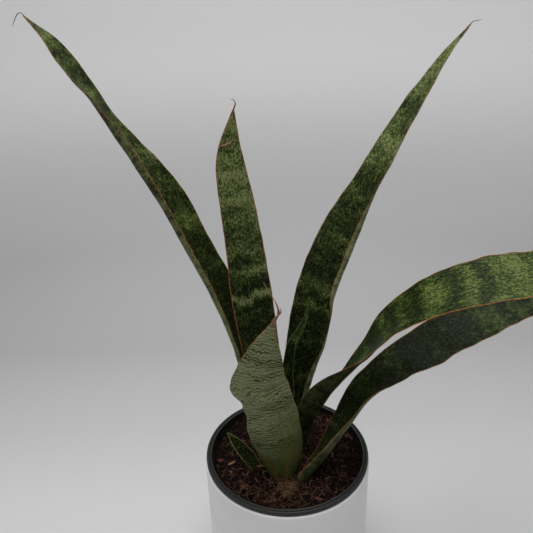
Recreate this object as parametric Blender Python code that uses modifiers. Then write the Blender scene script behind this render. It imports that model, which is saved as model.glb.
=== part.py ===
"""Potted snake plant: seven leaves and a pup in a dark nursery pot that hangs by its lip in a cachepot.

The origin is the centre of the cachepot's base, +Z up, in metres. The front of the plant faces -Y.
Leaf stations are in millimetres and degrees, and MM turns them into metres.
"""
import math

import bmesh
import bpy
from mathutils import Matrix, Vector

MM = 0.001
CLEARANCE = 0.3 * MM

# Cachepot: a straight white cylinder with a closed floor.
CACHEPOT_RADIUS = 75.0 * MM
CACHEPOT_HEIGHT = 135.2 * MM
CACHEPOT_WALL = 3.6 * MM
CACHEPOT_FLOOR = 5.0 * MM
CACHEPOT_BASE_EDGE = 3.0 * MM

# Nursery pot: a tapered liner with a rolled lip that rests on the cachepot's rim.
LIP_SETBACK = 0.8 * MM
LIP_WIDTH = 5.4 * MM
LIP_HEIGHT = 4.5 * MM
LIP_GROOVE = 0.7 * MM
# The lip's crest from its inner side outwards: share of its width, and share of the groove's depth.
LIP_CREST = ((0.12, 0.3), (0.3, 0.0), (0.5, 1.0), (0.65, 0.0))
LINER_WALL = 1.6 * MM
LINER_TAPER = 9.0 * MM
LINER_FLOOR_GAP = 17.0 * MM
LINER_SIDE_GAP = 0.8 * MM
DRAIN_HOLES = 6
DRAIN_HOLE_RADIUS = 4.5 * MM
DRAIN_CIRCLE_SHARE = 0.62
DRAIN_PHASE = math.radians(10)

# Soil: fills the liner to a little below its lip.
SOIL_DROP = 8.5 * MM
SOIL_EDGE_DROP = 1.6 * MM
SOIL_EDGE_WIDTH = 10.0 * MM
SOIL_SIDE_GAP = 1.5 * CLEARANCE

# Rhizome: the buried stem that carries the leaves.
CROWN_DEPTH = 2.0 * MM
CROWN_MARGIN = 1.6 * MM
NECK_DEPTH = 30.0 * MM
NECK_TAPER = 0.7
STEM_DEPTH = 19.0 * MM
STEM_RADIUS = 7.5 * MM

# Leaf blade thickness along its length and towards its margins.
THICKNESS_FOOT = 4.4 * MM
THICKNESS_BLADE = 2.3 * MM
THICKNESS_TIP = 0.9 * MM
MARGIN_THICKNESS_SHARE = 0.4
LEAST_HALF_THICKNESS = 0.25 * MM
MOST_HALF_THICKNESS_SHARE = 0.35
FOOT_ZONE = 0.28
TIP_ZONE = 0.8

TURNED_SIDES = 56
NECK_SIDES = 14
STEM_SIDES = 12
LEAF_RINGS = 22
LEAF_STRIPS = 6
PUP_RINGS = 8

LIP_OUTER_RADIUS = CACHEPOT_RADIUS - LIP_SETBACK
LIP_BOTTOM = CACHEPOT_HEIGHT + CLEARANCE
LIP_TOP = LIP_BOTTOM + LIP_HEIGHT
LINER_TOP_RADIUS = CACHEPOT_RADIUS - CACHEPOT_WALL - LINER_SIDE_GAP
LINER_BASE_RADIUS = LINER_TOP_RADIUS - LINER_TAPER
LINER_BOTTOM = CACHEPOT_FLOOR + LINER_FLOOR_GAP
LINER_FLOOR = LINER_BOTTOM + LINER_WALL
LIP_INNER_RADIUS = LIP_OUTER_RADIUS - LIP_WIDTH
LINER_INNER_TOP = min(LINER_TOP_RADIUS - LINER_WALL, LIP_INNER_RADIUS)
LINER_INNER_BASE = LINER_BASE_RADIUS - LINER_WALL
SOIL_TOP = LIP_TOP - SOIL_DROP
LEAF_FOOT = SOIL_TOP - CROWN_DEPTH + CLEARANCE

# Stations of a blade from foot to tip. Each is: x, y, height above the foot, width across the blade,
# azimuth and elevation that the upper face looks to, and how far the left and right margins roll inwards.
TALL_LEFT = (
    (-22, 22, 0, 24, -60, 20, 70, 70),
    (-42, 26, 114, 35, -43, 25, 105, 40),
    (-55, 28, 153, 38, -42, 25, 115, 35),
    (-76, 31, 200, 39, -38, 25, 120, 30),
    (-93, 34, 238, 39, -38, 25, 120, 25),
    (-110, 36, 266, 36, -30, 25, 135, 25),
    (-122, 38, 284, 33, -18, 25, 135, 25),
    (-135, 40, 305, 30, -4, 20, 70, 25),
    (-143, 41, 320, 28, -4, 20, 40, 20),
    (-151, 42, 332, 26, -12, 20, 30, 20),
    (-160, 43, 347, 23, -20, 20, 25, 20),
    (-169, 44, 361, 15, -22, 20, 20, 15),
    (-179, 45, 372, 5, -28, 20, 10, 10),
    (-186, 46, 379, 1.2, -30, 20, 0, 0),
)
TALL_CENTRE = (
    (-6, 12, 0, 24, -80, 0, 60, 60),
    (-22, 12, 118, 34, -85, 0, 30, 30),
    (-27, 13, 162, 35, -86, 0, 24, 24),
    (-31, 14, 205, 31, -88, 0, 20, 20),
    (-36, 16, 246, 27, -88, 0, 18, 18),
    (-39, 17, 270, 23, -90, 0, 15, 15),
    (-39, 18, 285, 17, -90, 0, 12, 12),
    (-37, 19, 299, 9, -92, 0, 10, 10),
    (-35, 20, 312, 1.2, -92, 0, 0, 0),
)
FRONT_SHORT = (
    (-4, -28, 0, 34, 95, 0, 75, 75),
    (-4, -30, 14, 40, 95, 0, 55, 55),
    (-8, -33, 41, 46, 95, 0, 40, 40),
    (-13, -37, 69, 48, 95, 0, 30, 30),
    (-19, -41, 97, 47, 95, 0, 25, 25),
    (-22, -42, 106, 48, 95, 0, 25, 25),
    (-21, -44, 124, 39, 95, 0, 20, 20),
    (-19, -46, 137, 31, 95, 0, 15, 15),
    (-15, -48, 155, 17, 95, 0, 10, 10),
    (-12, -49, 165, 8, 95, 0, 10, 10),
    (-9, -50, 175, 1.2, 95, 0, 0, 0),
)
TALL_RIGHT = (
    (3, 38, 0, 24, -100, 10, 60, 60),
    (17, 40, 67, 31, -100, 10, 30, 110),
    (24, 41, 102, 39, -100, 10, 20, 100),
    (28, 42, 130, 38, -100, 10, 12, 90),
    (35, 43, 155, 37, -100, 10, 10, 110),
    (46, 45, 184, 37, -108, 10, 10, 115),
    (60, 47, 216, 37, -128, 12, 10, 100),
    (72, 49, 243, 33, -146, 15, 10, 55),
    (84, 51, 266, 31, -149, 15, 10, 55),
    (97, 53, 290, 28, -156, 15, 10, 40),
    (111, 55, 314, 23, -158, 15, 10, 30),
    (121, 57, 330, 17, -162, 15, 10, 20),
    (131, 58, 345, 11, -165, 15, 10, 15),
    (147, 60, 364, 1.2, -160, 15, 0, 0),
)
YOUNG_ROLLED = (
    (3, 24, 0, 13, -90, 0, 110, 110),
    (3, 22, 52, 15, -95, 0, 100, 90),
    (4, 22, 95, 15, -100, 0, 90, 80),
    (7, 21, 110, 13, -100, 0, 80, 80),
    (12, 21, 120, 10, -100, 0, 70, 70),
    (17, 21, 133, 6, -100, 0, 60, 40),
    (22, 21, 154, 1.2, -100, 0, 0, 0),
)
ARCHING_UPPER = (
    (12, 2, 0, 25, 150, 30, 75, 80),
    (26, 1, 42, 29, 150, 30, 70, 75),
    (39, -4, 70, 32, 155, 32, 55, 70),
    (54, -8, 96, 34, 162, 38, 45, 55),
    (70, -12, 122, 35, 175, 50, 30, 35),
    (82, -16, 146, 36, 196, 57, 20, 25),
    (97, -21, 163, 38, 204, 54, 15, 15),
    (115, -26, 177, 40, 208, 50, 12, 10),
    (134, -31, 187, 41, 211, 48, 10, 10),
    (152, -36, 194, 41, 211, 45, 10, 10),
    (178, -41, 200, 40, 210, 45, 10, 10),
    (214, -45, 203, 34, 212, 48, 12, 12),
    (250, -47, 199, 22, 216, 52, 12, 12),
    (284, -48, 189, 1.2, 218, 55, 0, 0),
)
ARCHING_LOWER = (
    (14, -29, 0, 24, 140, 35, 80, 80),
    (31, -24, 20, 28, 160, 42, 60, 80),
    (51, -17, 51, 32, 190, 55, 45, 80),
    (70, -9, 78, 35, 215, 62, 30, 70),
    (84, -4, 89, 37, 222, 60, 25, 50),
    (101, 0, 101, 38, 225, 56, 20, 30),
    (122, 5, 112, 39, 232, 52, 15, 15),
    (142, 9, 123, 40, 236, 50, 12, 10),
    (165, 14, 133, 40, 236, 48, 10, 10),
    (192, 19, 145, 40, 235, 46, 10, 10),
    (234, 24, 156, 33, 236, 50, 12, 12),
    (270, 28, 158, 20, 238, 54, 12, 12),
    (302, 31, 153, 1.2, 240, 56, 0, 0),
)
PUP = (
    (-29, -13, 0, 12, -60, 30, 60, 60),
    (-38, -11, 15, 13, -60, 30, 40, 40),
    (-46, -10, 27, 9, -60, 30, 30, 30),
    (-53, -9, 37, 1.2, -60, 30, 0, 0),
)

# Blade name, stations, roll exponent (above 1 keeps the middle flat and rolls the margins), rings, colour.
BLADES = (
    ("leaf_tall_left", TALL_LEFT, 1.5, LEAF_RINGS, (0.10, 0.17, 0.05)),
    ("leaf_tall_centre", TALL_CENTRE, 1.0, LEAF_RINGS, (0.11, 0.17, 0.06)),
    ("leaf_front_short", FRONT_SHORT, 1.0, LEAF_RINGS, (0.24, 0.30, 0.17)),
    ("leaf_tall_right", TALL_RIGHT, 1.5, LEAF_RINGS, (0.10, 0.16, 0.05)),
    ("leaf_young_rolled", YOUNG_ROLLED, 1.0, LEAF_RINGS, (0.12, 0.18, 0.06)),
    ("leaf_arching_upper", ARCHING_UPPER, 1.0, LEAF_RINGS, (0.13, 0.20, 0.06)),
    ("leaf_arching_lower", ARCHING_LOWER, 1.0, LEAF_RINGS, (0.10, 0.16, 0.07)),
    ("pup_leaf", PUP, 1.0, PUP_RINGS, (0.06, 0.12, 0.04)),
)

# Which leaf bases the buried stem runs between.
STEM_RUNS = (
    ("leaf_arching_lower", "leaf_front_short"),
    ("leaf_front_short", "pup_leaf"),
    ("leaf_front_short", "leaf_tall_centre"),
    ("leaf_tall_centre", "leaf_tall_left"),
    ("leaf_tall_centre", "leaf_arching_upper"),
    ("leaf_tall_centre", "leaf_young_rolled"),
    ("leaf_young_rolled", "leaf_tall_right"),
)

# Wood chips on the soil: name, azimuth, distance in from the liner, turn about Z, length, width, thickness.
CHIPS = (
    ("wood_chip_left", -169, 17, 35, 9.0, 3.4, 1.6),
    ("wood_chip_front", -66, 10, -20, 8.0, 2.8, 1.4),
)
CHIP_EDGE_SHARE = 0.3


def clear_scene():
    """Remove whatever the file opened with."""
    for obj in list(bpy.data.objects):
        bpy.data.objects.remove(obj, do_unlink=True)


def new_collection(name):
    """A collection under the scene's own."""
    collection = bpy.data.collections.new(name)
    bpy.context.scene.collection.children.link(collection)
    return collection


def finish_material(name, colour, roughness, metallic=0.0):
    """A Principled material of one colour."""
    material = bpy.data.materials.new(name)
    material.use_nodes = True
    shader = material.node_tree.nodes["Principled BSDF"]
    shader.inputs["Base Color"].default_value = (*colour, 1.0)
    shader.inputs["Roughness"].default_value = roughness
    shader.inputs["Metallic"].default_value = metallic
    return material


def add_object(name, mesh, collection, material=None):
    """Put a mesh in a collection as a named object."""
    obj = bpy.data.objects.new(name, mesh)
    collection.objects.link(obj)
    if material:
        mesh.materials.clear()
        mesh.materials.append(material)
    return obj


def shade_round(mesh, sharp_degrees=40.0):
    """Smooth shading with creases kept."""
    mesh.shade_smooth()
    mesh.set_sharp_from_angle(angle=math.radians(sharp_degrees))


def bake(obj):
    """Replace an object's mesh by its evaluated one and drop its modifiers."""
    depsgraph = bpy.context.evaluated_depsgraph_get()
    mesh = bpy.data.meshes.new_from_object(obj.evaluated_get(depsgraph), depsgraph=depsgraph)
    obj.modifiers.clear()
    obj.data = mesh
    return mesh


def turned(name, profile, collection, material):
    """Turn an outline of (radius, height) points about Z; it ends on the axis and runs down outside."""
    mesh = bpy.data.meshes.new(name)
    edges = [(i, i + 1) for i in range(len(profile) - 1)]
    mesh.from_pydata([(radius, 0.0, height) for radius, height in profile], edges, [])
    obj = add_object(name, mesh, collection)
    screw = obj.modifiers.new("turn", "SCREW")
    screw.axis = "Z"
    screw.steps = TURNED_SIDES
    screw.render_steps = TURNED_SIDES
    screw.use_merge_vertices = True
    screw.merge_threshold = 0.00005
    screw.use_smooth_shade = True
    bake(obj)
    obj.data.materials.clear()
    obj.data.materials.append(material)
    shade_round(obj.data)
    return obj


def arc(centre_radius, centre_height, radius, start, end, steps):
    """Points of a profile along an arc, angles in degrees from +X towards +Z."""
    points = []
    for i in range(steps + 1):
        angle = math.radians(start + (end - start) * i / steps)
        points.append((centre_radius + radius * math.cos(angle), centre_height + radius * math.sin(angle)))
    return points


def cut(obj, cutters):
    """Subtract each cutter from an object."""
    for cutter in cutters:
        boolean = obj.modifiers.new("cut", "BOOLEAN")
        boolean.operation = "DIFFERENCE"
        boolean.object = cutter
    bake(obj)
    shade_round(obj.data)


def unite(obj, others):
    """Join other closed shapes onto an object and remove them."""
    for other in others:
        boolean = obj.modifiers.new("join", "BOOLEAN")
        boolean.operation = "UNION"
        boolean.object = other
    bake(obj)
    for other in others:
        bpy.data.objects.remove(other, do_unlink=True)
    return obj


def rod(name, start, end, radius_start, radius_end, sides, collection):
    """A closed straight rod or cone frustum between two points."""
    axis = end - start
    shape = bmesh.new()
    bmesh.ops.create_cone(
        shape,
        cap_ends=True,
        segments=sides,
        radius1=radius_start,
        radius2=radius_end,
        depth=axis.length,
        matrix=Matrix.Translation((start + end) / 2) @ axis.to_track_quat("Z", "Y").to_matrix().to_4x4(),
    )
    mesh = bpy.data.meshes.new(name)
    shape.to_mesh(mesh)
    shape.free()
    return add_object(name, mesh, collection)


def smooth_rows(stations, count):
    """Values read at equal steps along a smooth curve through the stations."""
    places = [Vector(station[:3]) for station in stations]
    reach = [0.0]
    for before, after in zip(places, places[1:]):
        reach.append(reach[-1] + (after - before).length)
    spans = [after - before for before, after in zip(reach, reach[1:])]
    slopes = []
    for low, high, span in zip(stations, stations[1:], spans):
        slopes.append([(b - a) / span for a, b in zip(low, high)])
    tangents = [slopes[0]]
    for i in range(1, len(spans)):
        share = spans[i - 1] / (spans[i - 1] + spans[i])
        tangents.append([a * (1 - share) + b * share for a, b in zip(slopes[i - 1], slopes[i])])
    tangents.append(slopes[-1])
    rows = []
    for step in range(count + 1):
        along = reach[-1] * step / count
        i = max(k for k in range(len(spans)) if reach[k] <= along + 1e-9)
        u = (along - reach[i]) / spans[i]
        keep = (1 + 2 * u) * (1 - u) ** 2
        leave = u * (1 - u) ** 2 * spans[i]
        arrive = u * u * (u - 1) * spans[i]
        rows.append([
            keep * a + (1 - keep) * b + leave * p + arrive * q
            for a, b, p, q in zip(stations[i], stations[i + 1], tangents[i], tangents[i + 1])
        ])
    return rows


def blade_thickness(share):
    """Thickness at the midrib: stout at the foot, even along the blade, thin at the tip."""
    if share < FOOT_ZONE:
        return THICKNESS_BLADE + (THICKNESS_FOOT - THICKNESS_BLADE) * (1 - share / FOOT_ZONE) ** 2
    if share > TIP_ZONE:
        return THICKNESS_BLADE + (THICKNESS_TIP - THICKNESS_BLADE) * (share - TIP_ZONE) / (1 - TIP_ZONE)
    return THICKNESS_BLADE


def blade_section(width, thickness, roll_left, roll_right, exponent):
    """One closed cross-section as (across, outwards) pairs: upper face left to right, lower face back."""
    half = LEAF_STRIPS // 2
    step = width / LEAF_STRIPS
    middle = [(0.0, 0.0, 0.0)]
    for side, roll in ((-1, roll_left), (1, roll_right)):
        across = 0.0
        rise = 0.0
        arm = []
        for k in range(1, half + 1):
            turn = math.radians(roll) * ((k - 0.5) / half) ** exponent
            across += side * step * math.cos(turn)
            rise += step * math.sin(turn)
            lean = side * math.radians(roll) * (k / half) ** exponent
            arm.append((across, rise, lean))
        middle = arm[::-1] + middle if side < 0 else middle + arm
    upper = []
    lower = []
    for index, (across, rise, lean) in enumerate(middle):
        edge = abs(index - half) / half
        offset = thickness / 2 * (1 - (1 - MARGIN_THICKNESS_SHARE) * edge ** 2)
        offset = min(offset, max(width * MOST_HALF_THICKNESS_SHARE, LEAST_HALF_THICKNESS))
        upper.append((across - math.sin(lean) * offset, rise + math.cos(lean) * offset))
        lower.append((across + math.sin(lean) * offset, rise - math.cos(lean) * offset))
    return upper + lower[::-1]


def blade_rings(stations, exponent, rings):
    """The blade's closed cross-sections in space, foot to tip, with a level foot."""
    rows = smooth_rows(stations, rings)
    spine = [Vector(row[:3]) * MM + Vector((0.0, 0.0, LEAF_FOOT)) for row in rows]
    result = []
    for i, row in enumerate(rows):
        tangent = (spine[min(i + 1, rings)] - spine[max(i - 1, 0)]).normalized()
        azimuth = math.radians(row[4])
        elevation = math.radians(row[5])
        level = math.cos(elevation)
        outward = Vector((level * math.cos(azimuth), level * math.sin(azimuth), math.sin(elevation)))
        outward = (outward - tangent * outward.dot(tangent)).normalized()
        sideways = tangent.cross(outward)
        section = blade_section(row[3] * MM, blade_thickness(i / rings), row[6], row[7], exponent)
        result.append([spine[i] + sideways * across + outward * rise for across, rise in section])
    for corner in result[0]:
        corner.z = LEAF_FOOT
    return result


def blade(name, stations, exponent, rings, collection, material):
    """Loft a leaf through its cross-sections and cap both ends."""
    shape = bmesh.new()
    loops = [[shape.verts.new(corner) for corner in ring] for ring in blade_rings(stations, exponent, rings)]
    for low, high in zip(loops, loops[1:]):
        for k, corner in enumerate(low):
            follower = (k + 1) % len(low)
            shape.faces.new((corner, low[follower], high[follower], high[k]))
    shape.faces.new(loops[0][::-1])
    shape.faces.new(loops[-1])
    bmesh.ops.recalc_face_normals(shape, faces=shape.faces)
    mesh = bpy.data.meshes.new(name)
    shape.to_mesh(mesh)
    shape.free()
    shade_round(mesh, 60.0)
    return add_object(name, mesh, collection, material)


def crown_necks():
    """Centre and radius of the neck under each leaf, wide enough for the leaf's foot."""
    necks = {}
    for name, stations, exponent, rings, _ in BLADES:
        foot = blade_rings(stations, exponent, rings)[0]
        centre = sum((Vector(corner) for corner in foot), Vector()) / len(foot)
        reach = max((corner - centre).length for corner in foot)
        necks[name] = (Vector((centre.x, centre.y, 0.0)), reach + CROWN_MARGIN)
    return necks


def crown_shapes(prefix, grow, collection, mouths=False):
    """Necks and stem runs of the rhizome, grown all over by a clearance for the pocket that holds it.

    A pocket also has a straight mouth over each neck, which lets the leaf out at the top.
    """
    necks = crown_necks()
    shapes = []
    crown_top = Vector((0.0, 0.0, SOIL_TOP - CROWN_DEPTH))
    for name, (centre, radius) in necks.items():
        low = centre + crown_top - Vector((0.0, 0.0, NECK_DEPTH + grow))
        shoulder = centre + crown_top
        narrow = radius * NECK_TAPER + grow
        wide = radius + grow
        shapes.append(rod(f"{prefix}_neck_{name}", low, shoulder, narrow, wide, NECK_SIDES, collection))
        if mouths:
            below = shoulder - Vector((0.0, 0.0, CLEARANCE))
            mouth = Vector((centre.x, centre.y, LIP_TOP))
            shapes.append(rod(f"{prefix}_mouth_{name}", below, mouth, wide, wide, NECK_SIDES, collection))
    stem_level = crown_top - Vector((0.0, 0.0, STEM_DEPTH))
    for first, second in STEM_RUNS:
        start = necks[first][0] + stem_level
        end = necks[second][0] + stem_level
        stretch = (end - start).normalized() * grow
        thick = STEM_RADIUS + grow
        name = f"{prefix}_stem_{first}_{second}"
        shapes.append(rod(name, start - stretch, end + stretch, thick, thick, STEM_SIDES, collection))
    return shapes


def build_cachepot(collection):
    """White outer pot: flat base, rounded lower edge and rounded rim."""
    inner = CACHEPOT_RADIUS - CACHEPOT_WALL
    rim = CACHEPOT_WALL / 2
    base_edge = CACHEPOT_BASE_EDGE
    profile = [(0.0, CACHEPOT_FLOOR)]
    profile += arc(inner - base_edge, CACHEPOT_FLOOR + base_edge, base_edge, -90, 0, 3)
    profile += arc(inner + rim, CACHEPOT_HEIGHT - rim, rim, 180, 0, 6)
    profile += arc(CACHEPOT_RADIUS - base_edge, base_edge, base_edge, 0, -90, 4)
    profile += [(0.0, 0.0)]
    glaze = finish_material("cachepot_white", (0.80, 0.81, 0.82), 0.38)
    turned("cachepot", profile, collection, glaze)


def build_nursery_pot(collection, cutters):
    """Dark liner: drained floor, tapered wall, rolled lip with two ridges that covers the cachepot's rim."""
    corner = LIP_HEIGHT / 4
    profile = [(0.0, LINER_FLOOR), (LINER_INNER_BASE, LINER_FLOOR), (LINER_INNER_TOP, LIP_BOTTOM)]
    profile += [(LIP_INNER_RADIUS, LIP_TOP - corner)]
    for share, groove_share in LIP_CREST:
        profile += [(LIP_INNER_RADIUS + LIP_WIDTH * share, LIP_TOP - LIP_GROOVE * groove_share)]
    profile += arc(LIP_OUTER_RADIUS - corner, LIP_TOP - corner, corner, 70, 0, 3)
    profile += [(LIP_OUTER_RADIUS, LIP_BOTTOM), (LINER_TOP_RADIUS, LIP_BOTTOM)]
    profile += [(LINER_BASE_RADIUS, LINER_FLOOR), (LINER_INNER_BASE, LINER_BOTTOM), (0.0, LINER_BOTTOM)]
    plastic = finish_material("nursery_dark", (0.012, 0.014, 0.013), 0.45)
    pot = turned("nursery_pot", profile, collection, plastic)
    drills = []
    for i in range(DRAIN_HOLES):
        angle = DRAIN_PHASE + 2 * math.pi * i / DRAIN_HOLES
        across = Vector((math.cos(angle), math.sin(angle), 0.0)) * LINER_BASE_RADIUS * DRAIN_CIRCLE_SHARE
        low = across + Vector((0.0, 0.0, LINER_BOTTOM - LINER_WALL))
        high = across + Vector((0.0, 0.0, LINER_BOTTOM + 2 * LINER_WALL))
        radius = DRAIN_HOLE_RADIUS
        drills.append(rod(f"drain_drill_{i + 1}", low, high, radius, radius, STEM_SIDES, cutters))
    cut(pot, drills)


def liner_inner_radius(height):
    """Radius of the liner's inner wall at a height."""
    share = (height - LINER_FLOOR) / (LIP_BOTTOM - LINER_FLOOR)
    return LINER_INNER_BASE + (LINER_INNER_TOP - LINER_INNER_BASE) * share


def build_soil(collection, cutters):
    """Soil: a turned plug that falls away at the wall, with an open pocket round the rhizome."""
    edge_height = SOIL_TOP - SOIL_EDGE_DROP
    foot_height = LINER_FLOOR + CLEARANCE
    edge = liner_inner_radius(edge_height) - SOIL_SIDE_GAP
    foot = liner_inner_radius(foot_height) - SOIL_SIDE_GAP
    profile = [(0.0, SOIL_TOP), (edge - SOIL_EDGE_WIDTH, SOIL_TOP), (edge, edge_height)]
    profile += [(foot, foot_height), (0.0, foot_height)]
    mix = finish_material("potting_soil", (0.035, 0.022, 0.015), 0.95)
    soil = turned("soil", profile, collection, mix)
    cut(soil, crown_shapes("pocket", CLEARANCE, cutters, mouths=True))


def build_rhizome(collection):
    """Buried stem with a neck under each leaf, joined into one body."""
    shapes = crown_shapes("rhizome", 0.0, collection)
    rhizome = unite(shapes[0], shapes[1:])
    rhizome.name = "rhizome"
    rhizome.data.name = "rhizome"
    rhizome.data.materials.clear()
    rhizome.data.materials.append(finish_material("rhizome_tan", (0.45, 0.30, 0.14), 0.7))
    shade_round(rhizome.data)


def build_chips(collection):
    """Small wood chips lying on the soil."""
    material = finish_material("wood_chip", (0.42, 0.27, 0.14), 0.8)
    for name, azimuth, inset, turn, length, width, thickness in CHIPS:
        shape = bmesh.new()
        bmesh.ops.create_cube(shape, size=1.0)
        bmesh.ops.scale(shape, vec=(length * MM, width * MM, thickness * MM), verts=shape.verts)
        bmesh.ops.bevel(
            shape,
            geom=shape.edges,
            offset=thickness * MM * CHIP_EDGE_SHARE,
            segments=1,
            profile=0.5,
            affect="EDGES",
            material=-1,
        )
        height = SOIL_TOP + CLEARANCE + thickness * MM / 2
        out = LINER_INNER_TOP - inset * MM
        angle = math.radians(azimuth)
        place = Matrix.Translation((out * math.cos(angle), out * math.sin(angle), height))
        place @= Matrix.Rotation(math.radians(turn), 4, "Z")
        mesh = bpy.data.meshes.new(name)
        shape.to_mesh(mesh)
        shape.free()
        obj = add_object(name, mesh, collection, material)
        obj.matrix_world = place


def main():
    """Build the pots, the soil with the rhizome in it, the leaves and the chips."""
    clear_scene()
    parts = new_collection("potted_snake_plant")
    cutters = new_collection("cutters")
    build_cachepot(parts)
    build_nursery_pot(parts, cutters)
    build_soil(parts, cutters)
    build_rhizome(parts)
    for name, stations, exponent, rings, colour in BLADES:
        blade(name, stations, exponent, rings, parts, finish_material(name + "_green", colour, 0.42))
    build_chips(parts)
    for cutter in cutters.objects:
        cutter.hide_render = True
        cutter.display_type = "WIRE"


main()
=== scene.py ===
"""Potted snake plant: dressed leaves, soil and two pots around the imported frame.

Every piece is in metres in the frame's own axes: the cachepot's base is at the origin, +Z is up and the plant
faces -Y. Leaf stations are in millimetres and degrees, and MM turns them into metres.
"""

import logging
import math
import random
from dataclasses import dataclass, field
from enum import Enum
from typing import Callable, Optional, Sequence, Union

import bmesh
import bpy
from mathutils import Matrix, Vector, noise


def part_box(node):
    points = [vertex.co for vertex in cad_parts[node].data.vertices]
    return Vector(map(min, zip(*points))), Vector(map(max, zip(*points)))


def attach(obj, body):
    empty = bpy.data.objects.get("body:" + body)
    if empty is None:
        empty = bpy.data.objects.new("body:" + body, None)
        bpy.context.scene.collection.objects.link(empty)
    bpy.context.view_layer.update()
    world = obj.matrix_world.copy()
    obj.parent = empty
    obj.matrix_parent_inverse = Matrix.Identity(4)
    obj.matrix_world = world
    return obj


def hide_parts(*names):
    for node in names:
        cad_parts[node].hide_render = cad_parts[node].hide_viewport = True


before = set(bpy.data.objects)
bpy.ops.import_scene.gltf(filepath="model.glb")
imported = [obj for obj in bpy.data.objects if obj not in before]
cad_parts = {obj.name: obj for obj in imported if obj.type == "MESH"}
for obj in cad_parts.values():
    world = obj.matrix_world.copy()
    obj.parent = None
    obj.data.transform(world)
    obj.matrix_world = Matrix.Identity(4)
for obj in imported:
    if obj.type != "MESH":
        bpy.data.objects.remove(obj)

LOG = logging.getLogger("snake_plant")
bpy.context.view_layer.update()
MM = 0.001
MERGE_WITHIN = 0.01 * MM
Colour = tuple[float, float, float]
Outline = list[tuple[float, float]]


# ---------------------------------------------------------------- shader sums


class Wire:
    """One output of a shader node, which takes part in Python sums and adds the Math nodes they need."""

    def __init__(self, paint: "Paint", socket: bpy.types.NodeSocket) -> None:
        """Wrap a socket.

        Args:
            paint: The material's node tree.
            socket: The output that the wire carries.
        """
        self.paint = paint
        self.socket = socket

    def _sum(self, operation: str, first: "Term", second: "Term" = None) -> "Wire":
        """Add a Math node.

        Args:
            operation: The node's operation.
            first: Its first value.
            second: Its second value, if it has one.

        Returns:
            The node's result.
        """
        sockets = {0: first} if second is None else {0: first, 1: second}
        return self.paint.wire("ShaderNodeMath", {"operation": operation}, sockets)

    def __add__(self, other: "Term") -> "Wire":
        """This plus another."""
        return self._sum("ADD", self, other)

    def __radd__(self, other: "Term") -> "Wire":
        """Another plus this."""
        return self._sum("ADD", other, self)

    def __sub__(self, other: "Term") -> "Wire":
        """This less another."""
        return self._sum("SUBTRACT", self, other)

    def __rsub__(self, other: "Term") -> "Wire":
        """Another less this."""
        return self._sum("SUBTRACT", other, self)

    def __mul__(self, other: "Term") -> "Wire":
        """This times another."""
        return self._sum("MULTIPLY", self, other)

    def __rmul__(self, other: "Term") -> "Wire":
        """Another times this."""
        return self._sum("MULTIPLY", other, self)

    def __truediv__(self, other: "Term") -> "Wire":
        """This over another."""
        return self._sum("DIVIDE", self, other)

    def __abs__(self) -> "Wire":
        """Size without sign."""
        return self._sum("ABSOLUTE", self)

    def least(self, other: "Term") -> "Wire":
        """The smaller of two."""
        return self._sum("MINIMUM", self, other)

    def most(self, other: "Term") -> "Wire":
        """The larger of two."""
        return self._sum("MAXIMUM", self, other)

    def step(self, low: float, high: float) -> "Wire":
        """A smooth step from 0 at low to 1 at high; high below low turns it round."""
        if high < low:
            return 1.0 - self.step(high, low)
        return self.paint.wire(
            "ShaderNodeMapRange",
            {"interpolation_type": "SMOOTHSTEP", "clamp": True},
            {"Value": self, "From Min": low, "From Max": high},
        )


Term = Union[Wire, float, None]
Value = Union[Wire, float, Sequence[float]]


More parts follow.
